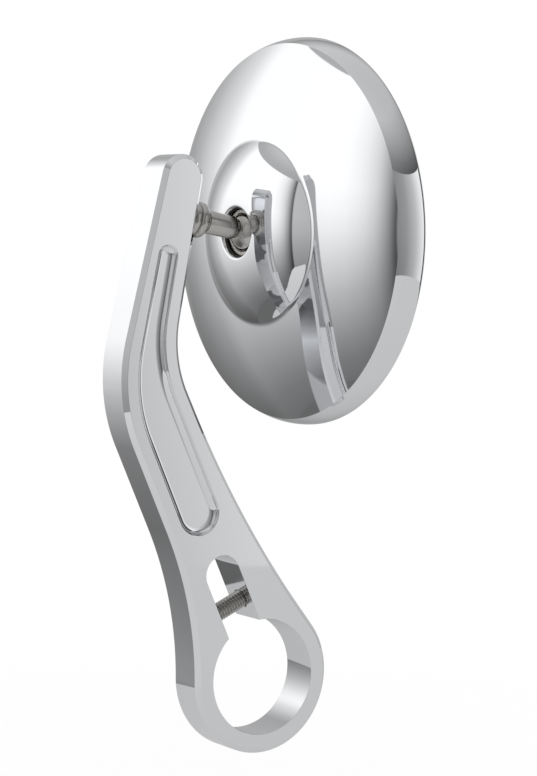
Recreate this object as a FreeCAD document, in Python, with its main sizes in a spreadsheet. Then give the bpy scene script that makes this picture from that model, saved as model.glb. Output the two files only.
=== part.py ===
import FreeCAD
import Part
import Sketcher
import math
import os

# A round bar end mirror: a flat polished arm clamps on a handlebar and carries a round head on a ball stud.
# Millimetres. The origin is the centre of the clamp bore, halfway through the arm.
# +X runs towards the head, +Y along the handlebar, +Z up.

doc = FreeCAD.newDocument("bar_end_mirror")
Vector = FreeCAD.Vector
Rotation = FreeCAD.Rotation
Placement = FreeCAD.Placement


# Sizes

sizes = {
    # clamp ring and arm plate
    "bore_radius": 12.7,
    "ring_wall": 4.15,
    "arm_thickness": 9.5,
    "arm_chamfer": 1.0,
    "arm_back_chamfer": 0.6,
    # outline of the arm, seen from the front
    "left_waist_radius": 80.4,
    "left_waist_height": 1.0,
    "left_lean": 23.6,
    "elbow_height": 65.75,
    "elbow_radius": 35.5,
    "right_waist_radius": 232.0,
    "ring_run": 5.75,
    "inner_run": 4.1,
    "inner_bend_drop": 21.88,
    "inner_bend_radius": 25.4,
    "top_rise": 7.56,
    "top_radius": 4.96,
    # tapered recess in the front face
    "recess_margin": 3.55,
    "recess_drop": 9.3,
    "recess_top_radius": 2.3,
    "recess_web": 5.95,
    "recess_bottom_radius": 4.9,
    "recess_depth": 1.45,
    "recess_wall": 0.2,
    # keyhole slot of the clamp
    "slot_lean": 23.6,
    "slot_width": 8.5,
    "slot_length": 12.7,
    # clamp screw and its lock washer
    "screw_offset": 3.9,
    "screw_radius": 2.0,
    "screw_length": 18.0,
    "screw_head_radius": 3.5,
    "screw_head_height": 2.8,
    "screw_socket_width": 2.5,
    "screw_socket_depth": 1.6,
    "screw_edge": 0.3,
    "screw_hole_gap": 0.15,
    "screw_tip_gap": 0.8,
    "thread_gap": 0.05,
    "counterbore_gap": 0.15,
    "cheek_seat": 3.35,
    "lock_washer_height": 1.0,
    "lock_washer_gap": 0.1,
    "lock_washer_split": 0.7,
    # ball stud and its washer
    "stem_x": -16.145,
    "stem_rise": 34.198,
    "stem_droop": 11.1,
    "stem_reach": 16.93,
    "stem_radius": 2.5,
    "stem_thread_length": 7.5,
    "stem_hole_depth": 8.0,
    "stud_washer_height": 1.75,
    "collar_radius": 3.85,
    "collar_height": 2.3,
    "collar_round": 0.8,
    "collar_shoulder": 1.3,
    "undercut_radius": 2.2,
    "undercut_width": 0.6,
    "stem_edge": 0.2,
    "neck_radius": 2.1,
    "neck_length": 0.5,
    "ball_radius": 5.0,
    # ball joint inside the hub
    "head_pan": 1.92,
    "ball_gap": 0.1,
    "liner_thickness": 0.6,
    "liner_back": 2.8,
    "liner_front": 3.5,
    "seat_reach": 2.9,
    "cup_start": 0.2,
    "cup_relief": 0.2,
    "cup_wall": 2.2,
    "side_gap": 0.1,
    "thrust_washer_height": 0.6,
    "thrust_washer_hole": 2.0,
    "thrust_washer_margin": 0.2,
    "spring_gap": 0.05,
    "spring_height": 0.575,
    "spring_thickness": 0.4,
    "spring_hole": 4.1,
    "retainer_thickness": 1.2,
    "retainer_hole": 3.0,
    "retainer_margin": 0.5,
    "retainer_screw_radius": 1.5,
    "retainer_screw_length": 6.0,
    "retainer_screw_head_radius": 2.75,
    "retainer_screw_head_height": 1.2,
    "retainer_screw_gap": 0.1,
    "retainer_screw_tip_gap": 0.3,
    "retainer_screw_count": 3,
    "boss_inner_wall": 1.9,
    "boss_outer_wall": 2.5,
    # hub mouth and its dust ring
    "mouth_gap": 0.35,
    "lip_round": 0.6,
    "lip_width": 0.65,
    "lip_height": 0.7,
    "dust_ring_room": 0.8,
    "dust_ring_height": 0.75,
    "dust_ring_depth": 0.55,
    "dust_ring_width": 0.9,
    # outer form of the head, slopes in degrees from the plane of the glass
    "head_radius": 42.4,
    "dome_radius": 25.6,
    "dome_start_slope": 5.0,
    "dome_end_slope": 38.0,
    "hub_fillet": 2.43,
    "shell_slope": 10.0,
    "band_radius": 10.4,
    "band_slope": 59.0,
    "rim_roll": 1.15,
    "rim_wall": 1.9,
    "shell_wall": 1.9,
    "ledge_width": 2.5,
    # mirror stack in front of the joint
    "inner_gap": 0.2,
    "backing_height": 1.3,
    "backing_gap": 0.2,
    "pad_height": 0.9,
    "pad_margin": 1.0,
    "glass_height": 2.0,
    "glass_curve": 1400.0,
    "glass_recess": 0.2,
    "seal_width": 0.45,
    "seal_gap": 0.05,
    "seal_recess": 0.3,
}

sheet = doc.addObject("Spreadsheet::Sheet", "Sizes")
for row, (name, size) in enumerate(sizes.items(), start=1):
    sheet.set("A%d" % row, str(size))
    sheet.setAlias("A%d" % row, name)
doc.recompute()


# Measures worked out from the sizes

worked = doc.addObject("App::VarSet", "Worked")


def work_out(name, formula):
    """Keep a measure that follows from the sizes, by name."""
    worked.addProperty("App::PropertyFloat", name, "Worked")
    worked.setExpression(name, formula)
    worked.recompute()
    return "Worked." + name


def number(formula):
    """The present value of a formula."""
    return float(sheet.evalExpression(formula))


ring_radius = work_out("ring_radius", "Sizes.bore_radius + Sizes.ring_wall")
half_thickness = work_out("half_thickness", "Sizes.arm_thickness / 2")
half_slot = work_out("half_slot", "Sizes.slot_width / 2")
slot_reach = work_out("slot_reach", "Sizes.bore_radius + Sizes.slot_length")
screw_reach = work_out("screw_reach", "Sizes.bore_radius + Sizes.screw_offset")
screw_seat = work_out("screw_seat", half_slot + " + Sizes.cheek_seat")
screw_head = work_out("screw_head", screw_seat + " + Sizes.lock_washer_height")
stem_z = work_out("stem_z", "Sizes.elbow_height + Sizes.stem_rise")
ball_x = work_out("ball_x", "Sizes.stem_x + Sizes.stem_reach * cos(Sizes.stem_droop)")
ball_z = work_out("ball_z", "Worked.stem_z - Sizes.stem_reach * sin(Sizes.stem_droop)")

# distances from the ball centre along the head's axis, and radii about it
liner_inner = work_out("liner_inner", "Sizes.ball_radius + Sizes.ball_gap")
liner_outer = work_out("liner_outer", liner_inner + " + Sizes.liner_thickness")
cup_sphere = work_out("cup_sphere", liner_outer + " + Sizes.ball_gap")
cup_radius = work_out("cup_radius", cup_sphere + " + Sizes.cup_wall")
hub_bore = work_out("hub_bore", cup_radius + " + Sizes.side_gap")
cup_end = work_out("cup_end", cup_sphere + " - Sizes.cup_relief")
thrust_end = work_out("thrust_end", cup_end + " + Sizes.thrust_washer_height")
spring_start = work_out("spring_start", thrust_end + " + Sizes.spring_gap")
boss_end = work_out("boss_end", spring_start + " + 2 * Sizes.spring_height")
retainer_end = work_out("retainer_end", boss_end + " + Sizes.retainer_thickness")
ledge = work_out("ledge", retainer_end + " + Sizes.retainer_screw_head_height + Sizes.inner_gap")
backing_end = work_out("backing_end", ledge + " + Sizes.backing_height")
glass_back = work_out("glass_back", backing_end + " + Sizes.pad_height")
glass_front = work_out("glass_front", glass_back + " + Sizes.glass_height")
rim_front = work_out("rim_front", glass_front + " + Sizes.glass_recess")
shoulder = work_out("shoulder", "-(Sizes.seat_reach + Sizes.side_gap)")
lip_inside = work_out("lip_inside", shoulder + " - Sizes.dust_ring_room")
lip = work_out("lip", lip_inside + " - Sizes.lip_height")
mouth_radius = work_out("mouth_radius", "Sizes.ball_radius + Sizes.mouth_gap")
lip_radius = work_out("lip_radius", mouth_radius + " + Sizes.lip_width")
dust_radius = work_out("dust_radius", mouth_radius + " + Sizes.dust_ring_depth")
screw_circle = work_out("screw_circle", hub_bore + " + Sizes.boss_inner_wall + Sizes.retainer_screw_radius")
boss_radius = work_out("boss_radius", screw_circle + " + Sizes.retainer_screw_radius + Sizes.boss_outer_wall")
rim_inside = work_out("rim_inside", "Sizes.head_radius - Sizes.rim_wall")
glass_radius = work_out("glass_radius", rim_inside + " - Sizes.seal_width - Sizes.seal_gap")
glass_inner_curve = work_out("glass_inner_curve", "Sizes.glass_curve - Sizes.glass_height")
glass_centre = work_out("glass_centre", glass_front + " - Sizes.glass_curve")

# the outer form of the head, from the lip out to the rim
dome_end = work_out(
    "dome_end", lip + " + Sizes.dome_radius * (cos(Sizes.dome_start_slope) - cos(Sizes.dome_end_slope))")
dome_end_radius = work_out(
    "dome_end_radius",
    lip_radius + " + Sizes.dome_radius * (sin(Sizes.dome_end_slope) - sin(Sizes.dome_start_slope))")
shell_start = work_out(
    "shell_start", dome_end + " + Sizes.hub_fillet * (cos(Sizes.shell_slope) - cos(Sizes.dome_end_slope))")
shell_start_radius = work_out(
    "shell_start_radius",
    dome_end_radius + " + Sizes.hub_fillet * (sin(Sizes.dome_end_slope) - sin(Sizes.shell_slope))")
band_end = work_out("band_end", rim_front + " - Sizes.rim_roll")
crease = work_out("crease", band_end + " - Sizes.band_radius * cos(Sizes.band_slope)")
crease_radius = work_out(
    "crease_radius", "Sizes.head_radius - Sizes.band_radius * (1 - sin(Sizes.band_slope))")
shell_rise = work_out("shell_rise", crease + " - " + shell_start)
shell_run = work_out("shell_run", crease_radius + " - " + shell_start_radius)
shell_radius = work_out(
    "shell_radius",
    "(Worked.shell_rise ^ 2 + Worked.shell_run ^ 2) / 2"
    " / (Worked.shell_rise * cos(Sizes.shell_slope) - Worked.shell_run * sin(Sizes.shell_slope))")
shell_centre = work_out("shell_centre", shell_start + " + Worked.shell_radius * cos(Sizes.shell_slope)")
shell_centre_radius = work_out(
    "shell_centre_radius", shell_start_radius + " - Worked.shell_radius * sin(Sizes.shell_slope)")
shell_inner_curve = work_out("shell_inner_curve", "Worked.shell_radius - Sizes.shell_wall")
cavity_radius = work_out("cavity_radius", rim_inside + " - Sizes.ledge_width")


# Helpers for sketches and bodies

def new_body(label):
    body = doc.addObject("PartDesign::Body", label)
    body.Label = label
    return body


def new_sketch(body, plane, name, x="0", y="0", z="0", turn="0"):
    """A sketch on one of the body's own planes, moved and turned in that plane by formulas."""
    sketch = body.newObject("Sketcher::SketchObject", name)
    support = [item for item in body.Origin.OriginFeatures if item.Role == plane][0]
    sketch.AttachmentSupport = [(support, "")]
    sketch.MapMode = "FlatFace"
    sketch.AttachmentOffset = Placement(Vector(0, 0, 0), Rotation(Vector(0, 0, 1), number(turn)))
    sketch.setExpression("AttachmentOffset.Base.x", x)
    sketch.setExpression("AttachmentOffset.Base.y", y)
    sketch.setExpression("AttachmentOffset.Base.z", z)
    if turn != "0":
        sketch.setExpression("AttachmentOffset.Rotation.Angle", turn)
    return sketch


def bind(sketch, *constraint, formula):
    """Add a dimension to a sketch and bind it to a formula."""
    index = sketch.addConstraint(Sketcher.Constraint(*constraint, number(formula)))
    sketch.setExpression("Constraints[%d]" % index, formula)


def add_arc(sketch, start, end, centre, radius):
    """An arc run anticlockwise for a positive radius and clockwise for a negative one."""
    first = math.atan2(start[1] - centre[1], start[0] - centre[0])
    last = math.atan2(end[1] - centre[1], end[0] - centre[0])
    if radius < 0:
        first, last = last, first
    while last < first:
        last += 2 * math.pi
    circle = Part.Circle(Vector(centre[0], centre[1], 0), Vector(0, 0, 1), abs(radius))
    return sketch.addGeometry(Part.ArcOfCircle(circle, first, last))


def arc_centre(start, end, radius):
    across, up = end[0] - start[0], end[1] - start[1]
    half = math.hypot(across, up) / 2
    away = math.sqrt(max(radius * radius - half * half, 0)) / (2 * half)
    side = math.copysign(1, radius)
    return ((start[0] + end[0]) / 2 - side * up * away, (start[1] + end[1]) / 2 + side * across * away)


def draw(sketch, path):
    """Close an outline of points, each two formulas, and a third for the arc that leads on from the point."""
    points = [(number(point[0]), number(point[1])) for point in path]
    radii = [number(point[2]) if len(point) > 2 else 0 for point in path]
    count = len(path)
    for i, radius in enumerate(radii):
        start, end = points[i], points[(i + 1) % count]
        if radius:
            add_arc(sketch, start, end, arc_centre(start, end, radius), radius)
        else:
            sketch.addGeometry(Part.LineSegment(Vector(*start, 0), Vector(*end, 0)))
    first = [2 if radius < 0 else 1 for radius in radii]
    for i in range(count):
        following = (i + 1) % count
        sketch.addConstraint(
            Sketcher.Constraint("Coincident", i, 3 - first[i], following, first[following]))
    for i, point in enumerate(path):
        bind(sketch, "DistanceX", -1, 1, i, first[i], formula=point[0])
        bind(sketch, "DistanceY", -1, 1, i, first[i], formula=point[1])
        if len(point) > 2:
            bind(sketch, "Radius", i, formula="abs(" + point[2] + ")")
    return sketch


def draw_belt(sketch, bends):
    """Close a belt of arcs and the straight lines that touch them.

    Each bend is a centre and a radius, in order anticlockwise, with a negative radius for a hollow one.
    """
    circles = [tuple(number(formula) for formula in bend) for bend in bends]
    count = len(circles)
    leave = []
    arrive = [None] * count
    for i, (x, y, radius) in enumerate(circles):
        next_x, next_y, next_radius = circles[(i + 1) % count]
        distance = math.hypot(next_x - x, next_y - y)
        heading = math.atan2(next_y - y, next_x - x) + math.asin((radius - next_radius) / distance)
        side = (math.sin(heading), -math.cos(heading))
        leave.append((x + radius * side[0], y + radius * side[1]))
        arrive[(i + 1) % count] = (next_x + next_radius * side[0], next_y + next_radius * side[1])
    for i, (x, y, radius) in enumerate(circles):
        add_arc(sketch, arrive[i], leave[i], (x, y), radius)
        line = Part.LineSegment(Vector(*leave[i], 0), Vector(*arrive[(i + 1) % count], 0))
        sketch.addGeometry(line)
    for i, bend in enumerate(bends):
        following = (i + 1) % count
        arc_end = 1 if circles[i][2] < 0 else 2
        next_start = 2 if circles[following][2] < 0 else 1
        sketch.addConstraint(Sketcher.Constraint("Tangent", 2 * i, arc_end, 2 * i + 1, 1))
        sketch.addConstraint(Sketcher.Constraint("Tangent", 2 * i + 1, 2, 2 * following, next_start))
    for i, bend in enumerate(bends):
        bind(sketch, "DistanceX", -1, 1, 2 * i, 3, formula=bend[0])
        bind(sketch, "DistanceY", -1, 1, 2 * i, 3, formula=bend[1])
        bind(sketch, "Radius", 2 * i, formula="abs(" + bend[2] + ")")
    return sketch


def add_turned(body, path, name, kind="PartDesign::Revolution", **where):
    """Turn an outline of lengths along X and radii about the X axis of its sketch."""
    sketch = draw(new_sketch(body, where.pop("plane", "XY_Plane"), name + "_section", **where), path)
    turned = body.newObject(kind, name)
    turned.Profile = sketch
    turned.ReferenceAxis = (sketch, ["H_Axis"])
    turned.Angle = 360
    sketch.Visibility = False
    return turned


def must_shrink(body, before, what):
    """A cut has to take material away."""
    doc.recompute()
    if not body.Shape.Volume < before - 1e-3:
        raise RuntimeError(what + " cuts nothing")


def place_on_stud(body):
    """Put a body on the stud's seat, with its X axis along the stud."""
    body.Placement = Placement(Vector(0, 0, 0), Rotation(Vector(0, 1, 0), number("Sizes.stem_droop")))
    body.setExpression("Placement.Base.x", "Sizes.stem_x")
    body.setExpression("Placement.Base.z", "Worked.stem_z")
    body.setExpression("Placement.Rotation.Angle", "Sizes.stem_droop")


def place_in_head(body):
    """Put a body at the ball centre, with its X axis along the head's axis."""
    body.Placement = Placement(Vector(0, 0, 0), Rotation(Vector(0, 0, 1), number("Sizes.head_pan")))
    body.setExpression("Placement.Base.x", ball_x)
    body.setExpression("Placement.Base.z", ball_z)
    body.setExpression("Placement.Rotation.Angle", "Sizes.head_pan")


def place_on_screw(body):
    """Put a body on the clamp screw's axis, with its X axis towards the screw head."""
    body.Placement = Placement(Vector(0, 0, 0), Rotation(Vector(0, -1, 0), number("Sizes.slot_lean")))
    body.setExpression("Placement.Base.x", "-" + screw_reach + " * sin(Sizes.slot_lean)")
    body.setExpression("Placement.Base.z", screw_reach + " * cos(Sizes.slot_lean)")
    body.setExpression("Placement.Rotation.Angle", "Sizes.slot_lean")


# Arm: a plate cut to the outline, with a keyhole clamp, a tapered recess and two tapped holes

arm = new_body("arm")
top_x = work_out(
    "top_x",
    "Sizes.stem_x + Sizes.top_rise * sin(Sizes.stem_droop) - Sizes.top_radius * cos(Sizes.stem_droop)")
top_z = work_out(
    "top_z",
    "Worked.stem_z + Sizes.top_rise * cos(Sizes.stem_droop) + Sizes.top_radius * sin(Sizes.stem_droop)")
inner_bend_x = work_out(
    "inner_bend_x",
    "Sizes.stem_x - Sizes.inner_bend_drop * sin(Sizes.stem_droop)"
    " + Sizes.inner_bend_radius * cos(Sizes.stem_droop)")
inner_bend_z = work_out(
    "inner_bend_z",
    "Worked.stem_z - Sizes.inner_bend_drop * cos(Sizes.stem_droop)"
    " - Sizes.inner_bend_radius * sin(Sizes.stem_droop)")
# the right waist touches the ring and the inner bend over two short straight runs
bend_distance = work_out("bend_distance", "sqrt(Worked.inner_bend_x ^ 2 + Worked.inner_bend_z ^ 2)")
waist_reach = work_out(
    "waist_reach", "sqrt((Worked.ring_radius + Sizes.right_waist_radius) ^ 2 + Sizes.ring_run ^ 2)")
waist_gap = work_out(
    "waist_gap", "sqrt((Sizes.right_waist_radius - Sizes.inner_bend_radius) ^ 2 + Sizes.inner_run ^ 2)")
waist_along = work_out(
    "waist_along",
    "(Worked.waist_reach ^ 2 - Worked.waist_gap ^ 2 + Worked.bend_distance ^ 2) / (2 * Worked.bend_distance)")
waist_aside = work_out("waist_aside", "sqrt(Worked.waist_reach ^ 2 - Worked.waist_along ^ 2)")
right_waist_x = work_out(
    "right_waist_x",
    "(Worked.waist_along * Worked.inner_bend_x + Worked.waist_aside * Worked.inner_bend_z)"
    " / Worked.bend_distance")
right_waist_z = work_out(
    "right_waist_z",
    "(Worked.waist_along * Worked.inner_bend_z - Worked.waist_aside * Worked.inner_bend_x)"
    " / Worked.bend_distance")
elbow_x = work_out(
    "elbow_x",
    "(Sizes.left_waist_radius + Sizes.elbow_radius"
    " - (Sizes.elbow_height - Sizes.left_waist_height) * sin(Sizes.left_lean)) / cos(Sizes.left_lean)"
    " - Worked.ring_radius - Sizes.left_waist_radius")
outline = draw_belt(new_sketch(arm, "XZ_Plane", "arm_outline"), [
    (top_x, top_z, "Sizes.top_radius"),
    (elbow_x, "Sizes.elbow_height", "Sizes.elbow_radius"),
    ("-(Worked.ring_radius + Sizes.left_waist_radius)", "Sizes.left_waist_height",
     "-Sizes.left_waist_radius"),
    ("0", "0", ring_radius),
    (right_waist_x, right_waist_z, "-Sizes.right_waist_radius"),
    (inner_bend_x, inner_bend_z, "-Sizes.inner_bend_radius"),
])
plate = arm.newObject("PartDesign::Pad", "arm_plate")
plate.Profile = outline
plate.Midplane = True
plate.setExpression("Length", "Sizes.arm_thickness")
doc.recompute()

# the front edge gets the wide chamfer, the back edge a narrow one
edged = plate
for name, side, size in (("front_edge", -1, "Sizes.arm_chamfer"), ("back_edge", 1, "Sizes.arm_back_chamfer")):
    flat_edges = ["Edge%d" % (i + 1) for i, edge in enumerate(edged.Shape.Edges)
                  if edge.BoundBox.YLength < 1e-6
                  and abs(edge.BoundBox.YMin - side * number(half_thickness)) < 1e-6]
    edge_break = arm.newObject("PartDesign::Chamfer", name)
    edge_break.Base = (edged, flat_edges)
    edge_break.setExpression("Size", size)
    doc.recompute()
    edged = edge_break

# the bore and the slot that opens into it, drawn along the slot
slot_foot = work_out("slot_foot", "sqrt(Sizes.bore_radius ^ 2 - Worked.half_slot ^ 2)")
keyhole = draw(new_sketch(arm, "XZ_Plane", "keyhole", turn="Sizes.slot_lean"), [
    ("0", "-Sizes.bore_radius", "Sizes.bore_radius"),
    (half_slot, slot_foot),
    (half_slot, slot_reach, half_slot),
    ("0", slot_reach + " + " + half_slot, half_slot),
    ("-" + half_slot, slot_reach),
    ("-" + half_slot, slot_foot, "Sizes.bore_radius"),
])
volume = arm.Shape.Volume
clamp_cut = arm.newObject("PartDesign::Pocket", "clamp_cut")
clamp_cut.Profile = keyhole
clamp_cut.Midplane = True
clamp_cut.setExpression("Length", "2 * Sizes.arm_thickness")
must_shrink(arm, volume, "The clamp bore")

# the recess keeps its margin inside the outline and ends above the slot
recess_top_x = work_out(
    "recess_top_x",
    "Sizes.stem_x - Sizes.recess_drop * sin(Sizes.stem_droop)"
    " - (Sizes.recess_margin + Sizes.recess_top_radius) * cos(Sizes.stem_droop)")
recess_top_z = work_out(
    "recess_top_z",
    "Worked.stem_z - Sizes.recess_drop * cos(Sizes.stem_droop)"
    " + (Sizes.recess_margin + Sizes.recess_top_radius) * sin(Sizes.stem_droop)")
recess_reach = work_out(
    "recess_reach", "Worked.slot_reach + Worked.half_slot + Sizes.recess_web + Sizes.recess_bottom_radius")
recess_outline = new_sketch(arm, "XZ_Plane", "recess_outline", z=half_thickness)
draw_belt(recess_outline, [
    (recess_top_x, recess_top_z, "Sizes.recess_top_radius"),
    (elbow_x, "Sizes.elbow_height", "Sizes.elbow_radius - Sizes.recess_margin"),
    ("-Worked.recess_reach * sin(Sizes.slot_lean)", "Worked.recess_reach * cos(Sizes.slot_lean)",
     "Sizes.recess_bottom_radius"),
    (inner_bend_x, inner_bend_z, "-(Sizes.inner_bend_radius + Sizes.recess_margin)"),
])
volume = arm.Shape.Volume
recess = arm.newObject("PartDesign::Pocket", "recess")
recess.Profile = recess_outline
recess.setExpression("Length", "Sizes.recess_depth")
must_shrink(arm, volume, "The recess")
floor_y = number("Sizes.recess_depth - Worked.half_thickness")
floor_edges = ["Edge%d" % (i + 1) for i, edge in enumerate(recess.Shape.Edges)
               if edge.BoundBox.YLength < 1e-6 and abs(edge.BoundBox.YMin - floor_y) < 1e-6]
recess_fillet = arm.newObject("PartDesign::Fillet", "recess_floor")
recess_fillet.Base = (recess, floor_edges)
recess_fillet.setExpression(
    "Radius", "min(Sizes.recess_depth - Sizes.recess_wall; 0.8 * Sizes.recess_top_radius)")
doc.recompute()

# the screw hole: tapped in the left cheek, clear in the right one, with a counterbore for the head
volume = arm.Shape.Volume
add_turned(
    arm,
    [
        ("-(Sizes.screw_length - Worked.screw_head + Sizes.screw_tip_gap)", "0"),
        ("-(Sizes.screw_length - Worked.screw_head + Sizes.screw_tip_gap)",
         "Sizes.screw_radius + Sizes.thread_gap"),
        ("0", "Sizes.screw_radius + Sizes.thread_gap"),
        ("0", "Sizes.screw_radius + Sizes.screw_hole_gap"),
        (screw_seat, "Sizes.screw_radius + Sizes.screw_hole_gap"),
        (screw_seat, "Sizes.screw_head_radius + Sizes.counterbore_gap"),
        ("2 * Worked.ring_radius", "Sizes.screw_head_radius + Sizes.counterbore_gap"),
        ("2 * Worked.ring_radius", "0"),
    ],
    "screw_hole",
    kind="PartDesign::Groove",
    plane="XZ_Plane",
    x="-Worked.screw_reach * sin(Sizes.slot_lean)",
    y="Worked.screw_reach * cos(Sizes.slot_lean)",
    turn="Sizes.slot_lean",
)
must_shrink(arm, volume, "The screw hole")

# the tapped hole that the ball stud screws into
volume = arm.Shape.Volume
add_turned(
    arm,
    [
        ("-Sizes.stem_hole_depth", "0"),
        ("-Sizes.stem_hole_depth", "Sizes.stem_radius + Sizes.thread_gap"),
        ("Sizes.top_radius", "Sizes.stem_radius + Sizes.thread_gap"),
        ("Sizes.top_radius", "0"),
    ],
    "stud_hole",
    kind="PartDesign::Groove",
    plane="XZ_Plane",
    x="Sizes.stem_x",
    y="Worked.stem_z",
    turn="-Sizes.stem_droop",
)
must_shrink(arm, volume, "The stud hole")


# Clamp screw: a low cap screw with a hexagon socket

clamp_screw = new_body("clamp_screw")
screw_tip = work_out("screw_tip", "Worked.screw_head - Sizes.screw_length")
screw_top = work_out("screw_top", "Worked.screw_head + Sizes.screw_head_height")
add_turned(clamp_screw, [
    (screw_tip, "0"),
    (screw_tip, "Sizes.screw_radius - Sizes.screw_edge"),
    (screw_tip + " + Sizes.screw_edge", "Sizes.screw_radius"),
    (screw_head, "Sizes.screw_radius"),
    (screw_head, "Sizes.screw_head_radius"),
    (screw_top + " - Sizes.screw_edge", "Sizes.screw_head_radius"),
    (screw_top, "Sizes.screw_head_radius - Sizes.screw_edge"),
    (screw_top, "0"),
], "clamp_screw_blank")
socket_sketch = new_sketch(clamp_screw, "YZ_Plane", "socket_outline", z=screw_top)
corners = []
for i in range(6):
    corner = "Sizes.screw_socket_width / sqrt(3) * "
    corners.append((corner + "cos(%d)" % (60 * i), corner + "sin(%d)" % (60 * i)))
draw(socket_sketch, corners)
doc.recompute()
volume = clamp_screw.Shape.Volume
socket = clamp_screw.newObject("PartDesign::Pocket", "clamp_screw_socket")
socket.Profile = socket_sketch
socket.setExpression("Length", "Sizes.screw_socket_depth")
must_shrink(clamp_screw, volume, "The hexagon socket")
place_on_screw(clamp_screw)


# Lock washer: a flat ring with one narrow split

lock_washer = new_body("clamp_lock_washer")
add_turned(lock_washer, [
    (screw_seat, "Sizes.screw_radius + Sizes.lock_washer_gap"),
    (screw_seat, "Sizes.screw_head_radius"),
    (screw_head, "Sizes.screw_head_radius"),
    (screw_head, "Sizes.screw_radius + Sizes.lock_washer_gap"),
], "lock_washer_ring")
split = new_sketch(lock_washer, "YZ_Plane", "split_outline", z=screw_head)
draw(split, [
    ("0", "-Sizes.lock_washer_split / 2"),
    ("2 * Sizes.screw_head_radius", "-Sizes.lock_washer_split / 2"),
    ("2 * Sizes.screw_head_radius", "Sizes.lock_washer_split / 2"),
    ("0", "Sizes.lock_washer_split / 2"),
])
doc.recompute()
volume = lock_washer.Shape.Volume
split_cut = lock_washer.newObject("PartDesign::Pocket", "lock_washer_split")
split_cut.Profile = split
split_cut.setExpression("Length", "2 * Sizes.lock_washer_height")
must_shrink(lock_washer, volume, "The washer's split")
place_on_screw(lock_washer)


# Ball stud: thread, collar, undercut, shaft, neck and ball

stud = new_body("ball_stud")
collar_end = work_out("collar_end", "Sizes.stud_washer_height + Sizes.collar_height")
shaft_start = work_out("shaft_start", "Worked.collar_end + Sizes.undercut_width")
neck_end = work_out(
    "neck_end", "Sizes.stem_reach - sqrt(Sizes.ball_radius ^ 2 - Sizes.neck_radius ^ 2)")
neck_start = work_out("neck_start", "Worked.neck_end - Sizes.neck_length")
add_turned(stud, [
    ("-Sizes.stem_thread_length", "0"),
    ("-Sizes.stem_thread_length", "Sizes.stem_radius - Sizes.screw_edge"),
    ("-Sizes.stem_thread_length + Sizes.screw_edge", "Sizes.stem_radius"),
    ("Sizes.stud_washer_height", "Sizes.stem_radius"),
    ("Sizes.stud_washer_height", "Sizes.collar_radius - Sizes.collar_round", "-Sizes.collar_round"),
    ("Sizes.stud_washer_height + Sizes.collar_round", "Sizes.collar_radius"),
    ("Worked.collar_end - Sizes.collar_shoulder", "Sizes.collar_radius", "-Sizes.collar_shoulder"),
    (collar_end, "Sizes.collar_radius - Sizes.collar_shoulder"),
    (collar_end, "Sizes.undercut_radius"),
    (shaft_start, "Sizes.undercut_radius"),
    (shaft_start, "Sizes.stem_radius - Sizes.stem_edge"),
    (shaft_start + " + Sizes.stem_edge", "Sizes.stem_radius"),
    (neck_start + " - (Sizes.stem_radius - Sizes.neck_radius)", "Sizes.stem_radius"),
    (neck_start, "Sizes.neck_radius"),
    (neck_end, "Sizes.neck_radius", "-Sizes.ball_radius"),
    ("Sizes.stem_reach", "Sizes.ball_radius", "-Sizes.ball_radius"),
    ("Sizes.stem_reach + Sizes.ball_radius", "0"),
], "stud_turning")
place_on_stud(stud)

stud_washer = new_body("stud_washer")
washer_bore = work_out("washer_bore", "Sizes.stem_radius + Sizes.thread_gap")
add_turned(stud_washer, [
    ("0", washer_bore),
    ("0", "Sizes.collar_radius - Sizes.collar_round", "-Sizes.collar_round"),
    ("Sizes.collar_round", "Sizes.collar_radius"),
    ("Sizes.stud_washer_height - Sizes.collar_round", "Sizes.collar_radius", "-Sizes.collar_round"),
    ("Sizes.stud_washer_height", "Sizes.collar_radius - Sizes.collar_round"),
    ("Sizes.stud_washer_height", washer_bore),
], "stud_washer_turning")
place_on_stud(stud_washer)


# Ball liner: a spherical zone round the ball

liner = new_body("ball_liner")
add_turned(liner, [
    ("-Sizes.liner_back", "sqrt(Worked.liner_outer ^ 2 - Sizes.liner_back ^ 2)", "-Worked.liner_outer"),
    ("Sizes.liner_front", "sqrt(Worked.liner_outer ^ 2 - Sizes.liner_front ^ 2)"),
    ("Sizes.liner_front", "sqrt(Worked.liner_inner ^ 2 - Sizes.liner_front ^ 2)", "Worked.liner_inner"),
    ("-Sizes.liner_back", "sqrt(Worked.liner_inner ^ 2 - Sizes.liner_back ^ 2)"),
], "liner_turning")
place_in_head(liner)


# Seat ring, pressure cup and thrust washer: the cartridge that turns in the hub

seat = new_body("seat_ring")
add_turned(seat, [
    ("-Sizes.seat_reach", "sqrt(Worked.cup_sphere ^ 2 - Sizes.seat_reach ^ 2)", "-Worked.cup_sphere"),
    ("0", cup_sphere),
    ("0", cup_radius),
    ("-Sizes.seat_reach", cup_radius),
], "seat_turning")
place_in_head(seat)

cup = new_body("pressure_cup")
add_turned(cup, [
    ("Sizes.cup_start", "sqrt(Worked.cup_sphere ^ 2 - Sizes.cup_start ^ 2)", "-Worked.cup_sphere"),
    (cup_end, "sqrt(Worked.cup_sphere ^ 2 - Worked.cup_end ^ 2)"),
    (cup_end, cup_radius),
    ("Sizes.cup_start", cup_radius),
], "cup_turning")
place_in_head(cup)

thrust = new_body("thrust_washer")
add_turned(thrust, [
    (cup_end, "Sizes.thrust_washer_hole"),
    (cup_end, "Worked.cup_radius - Sizes.thrust_washer_margin"),
    (thrust_end, "Worked.cup_radius - Sizes.thrust_washer_margin"),
    (thrust_end, "Sizes.thrust_washer_hole"),
], "thrust_turning")
place_in_head(thrust)


# Disc springs: two coned washers set edge to edge

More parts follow.
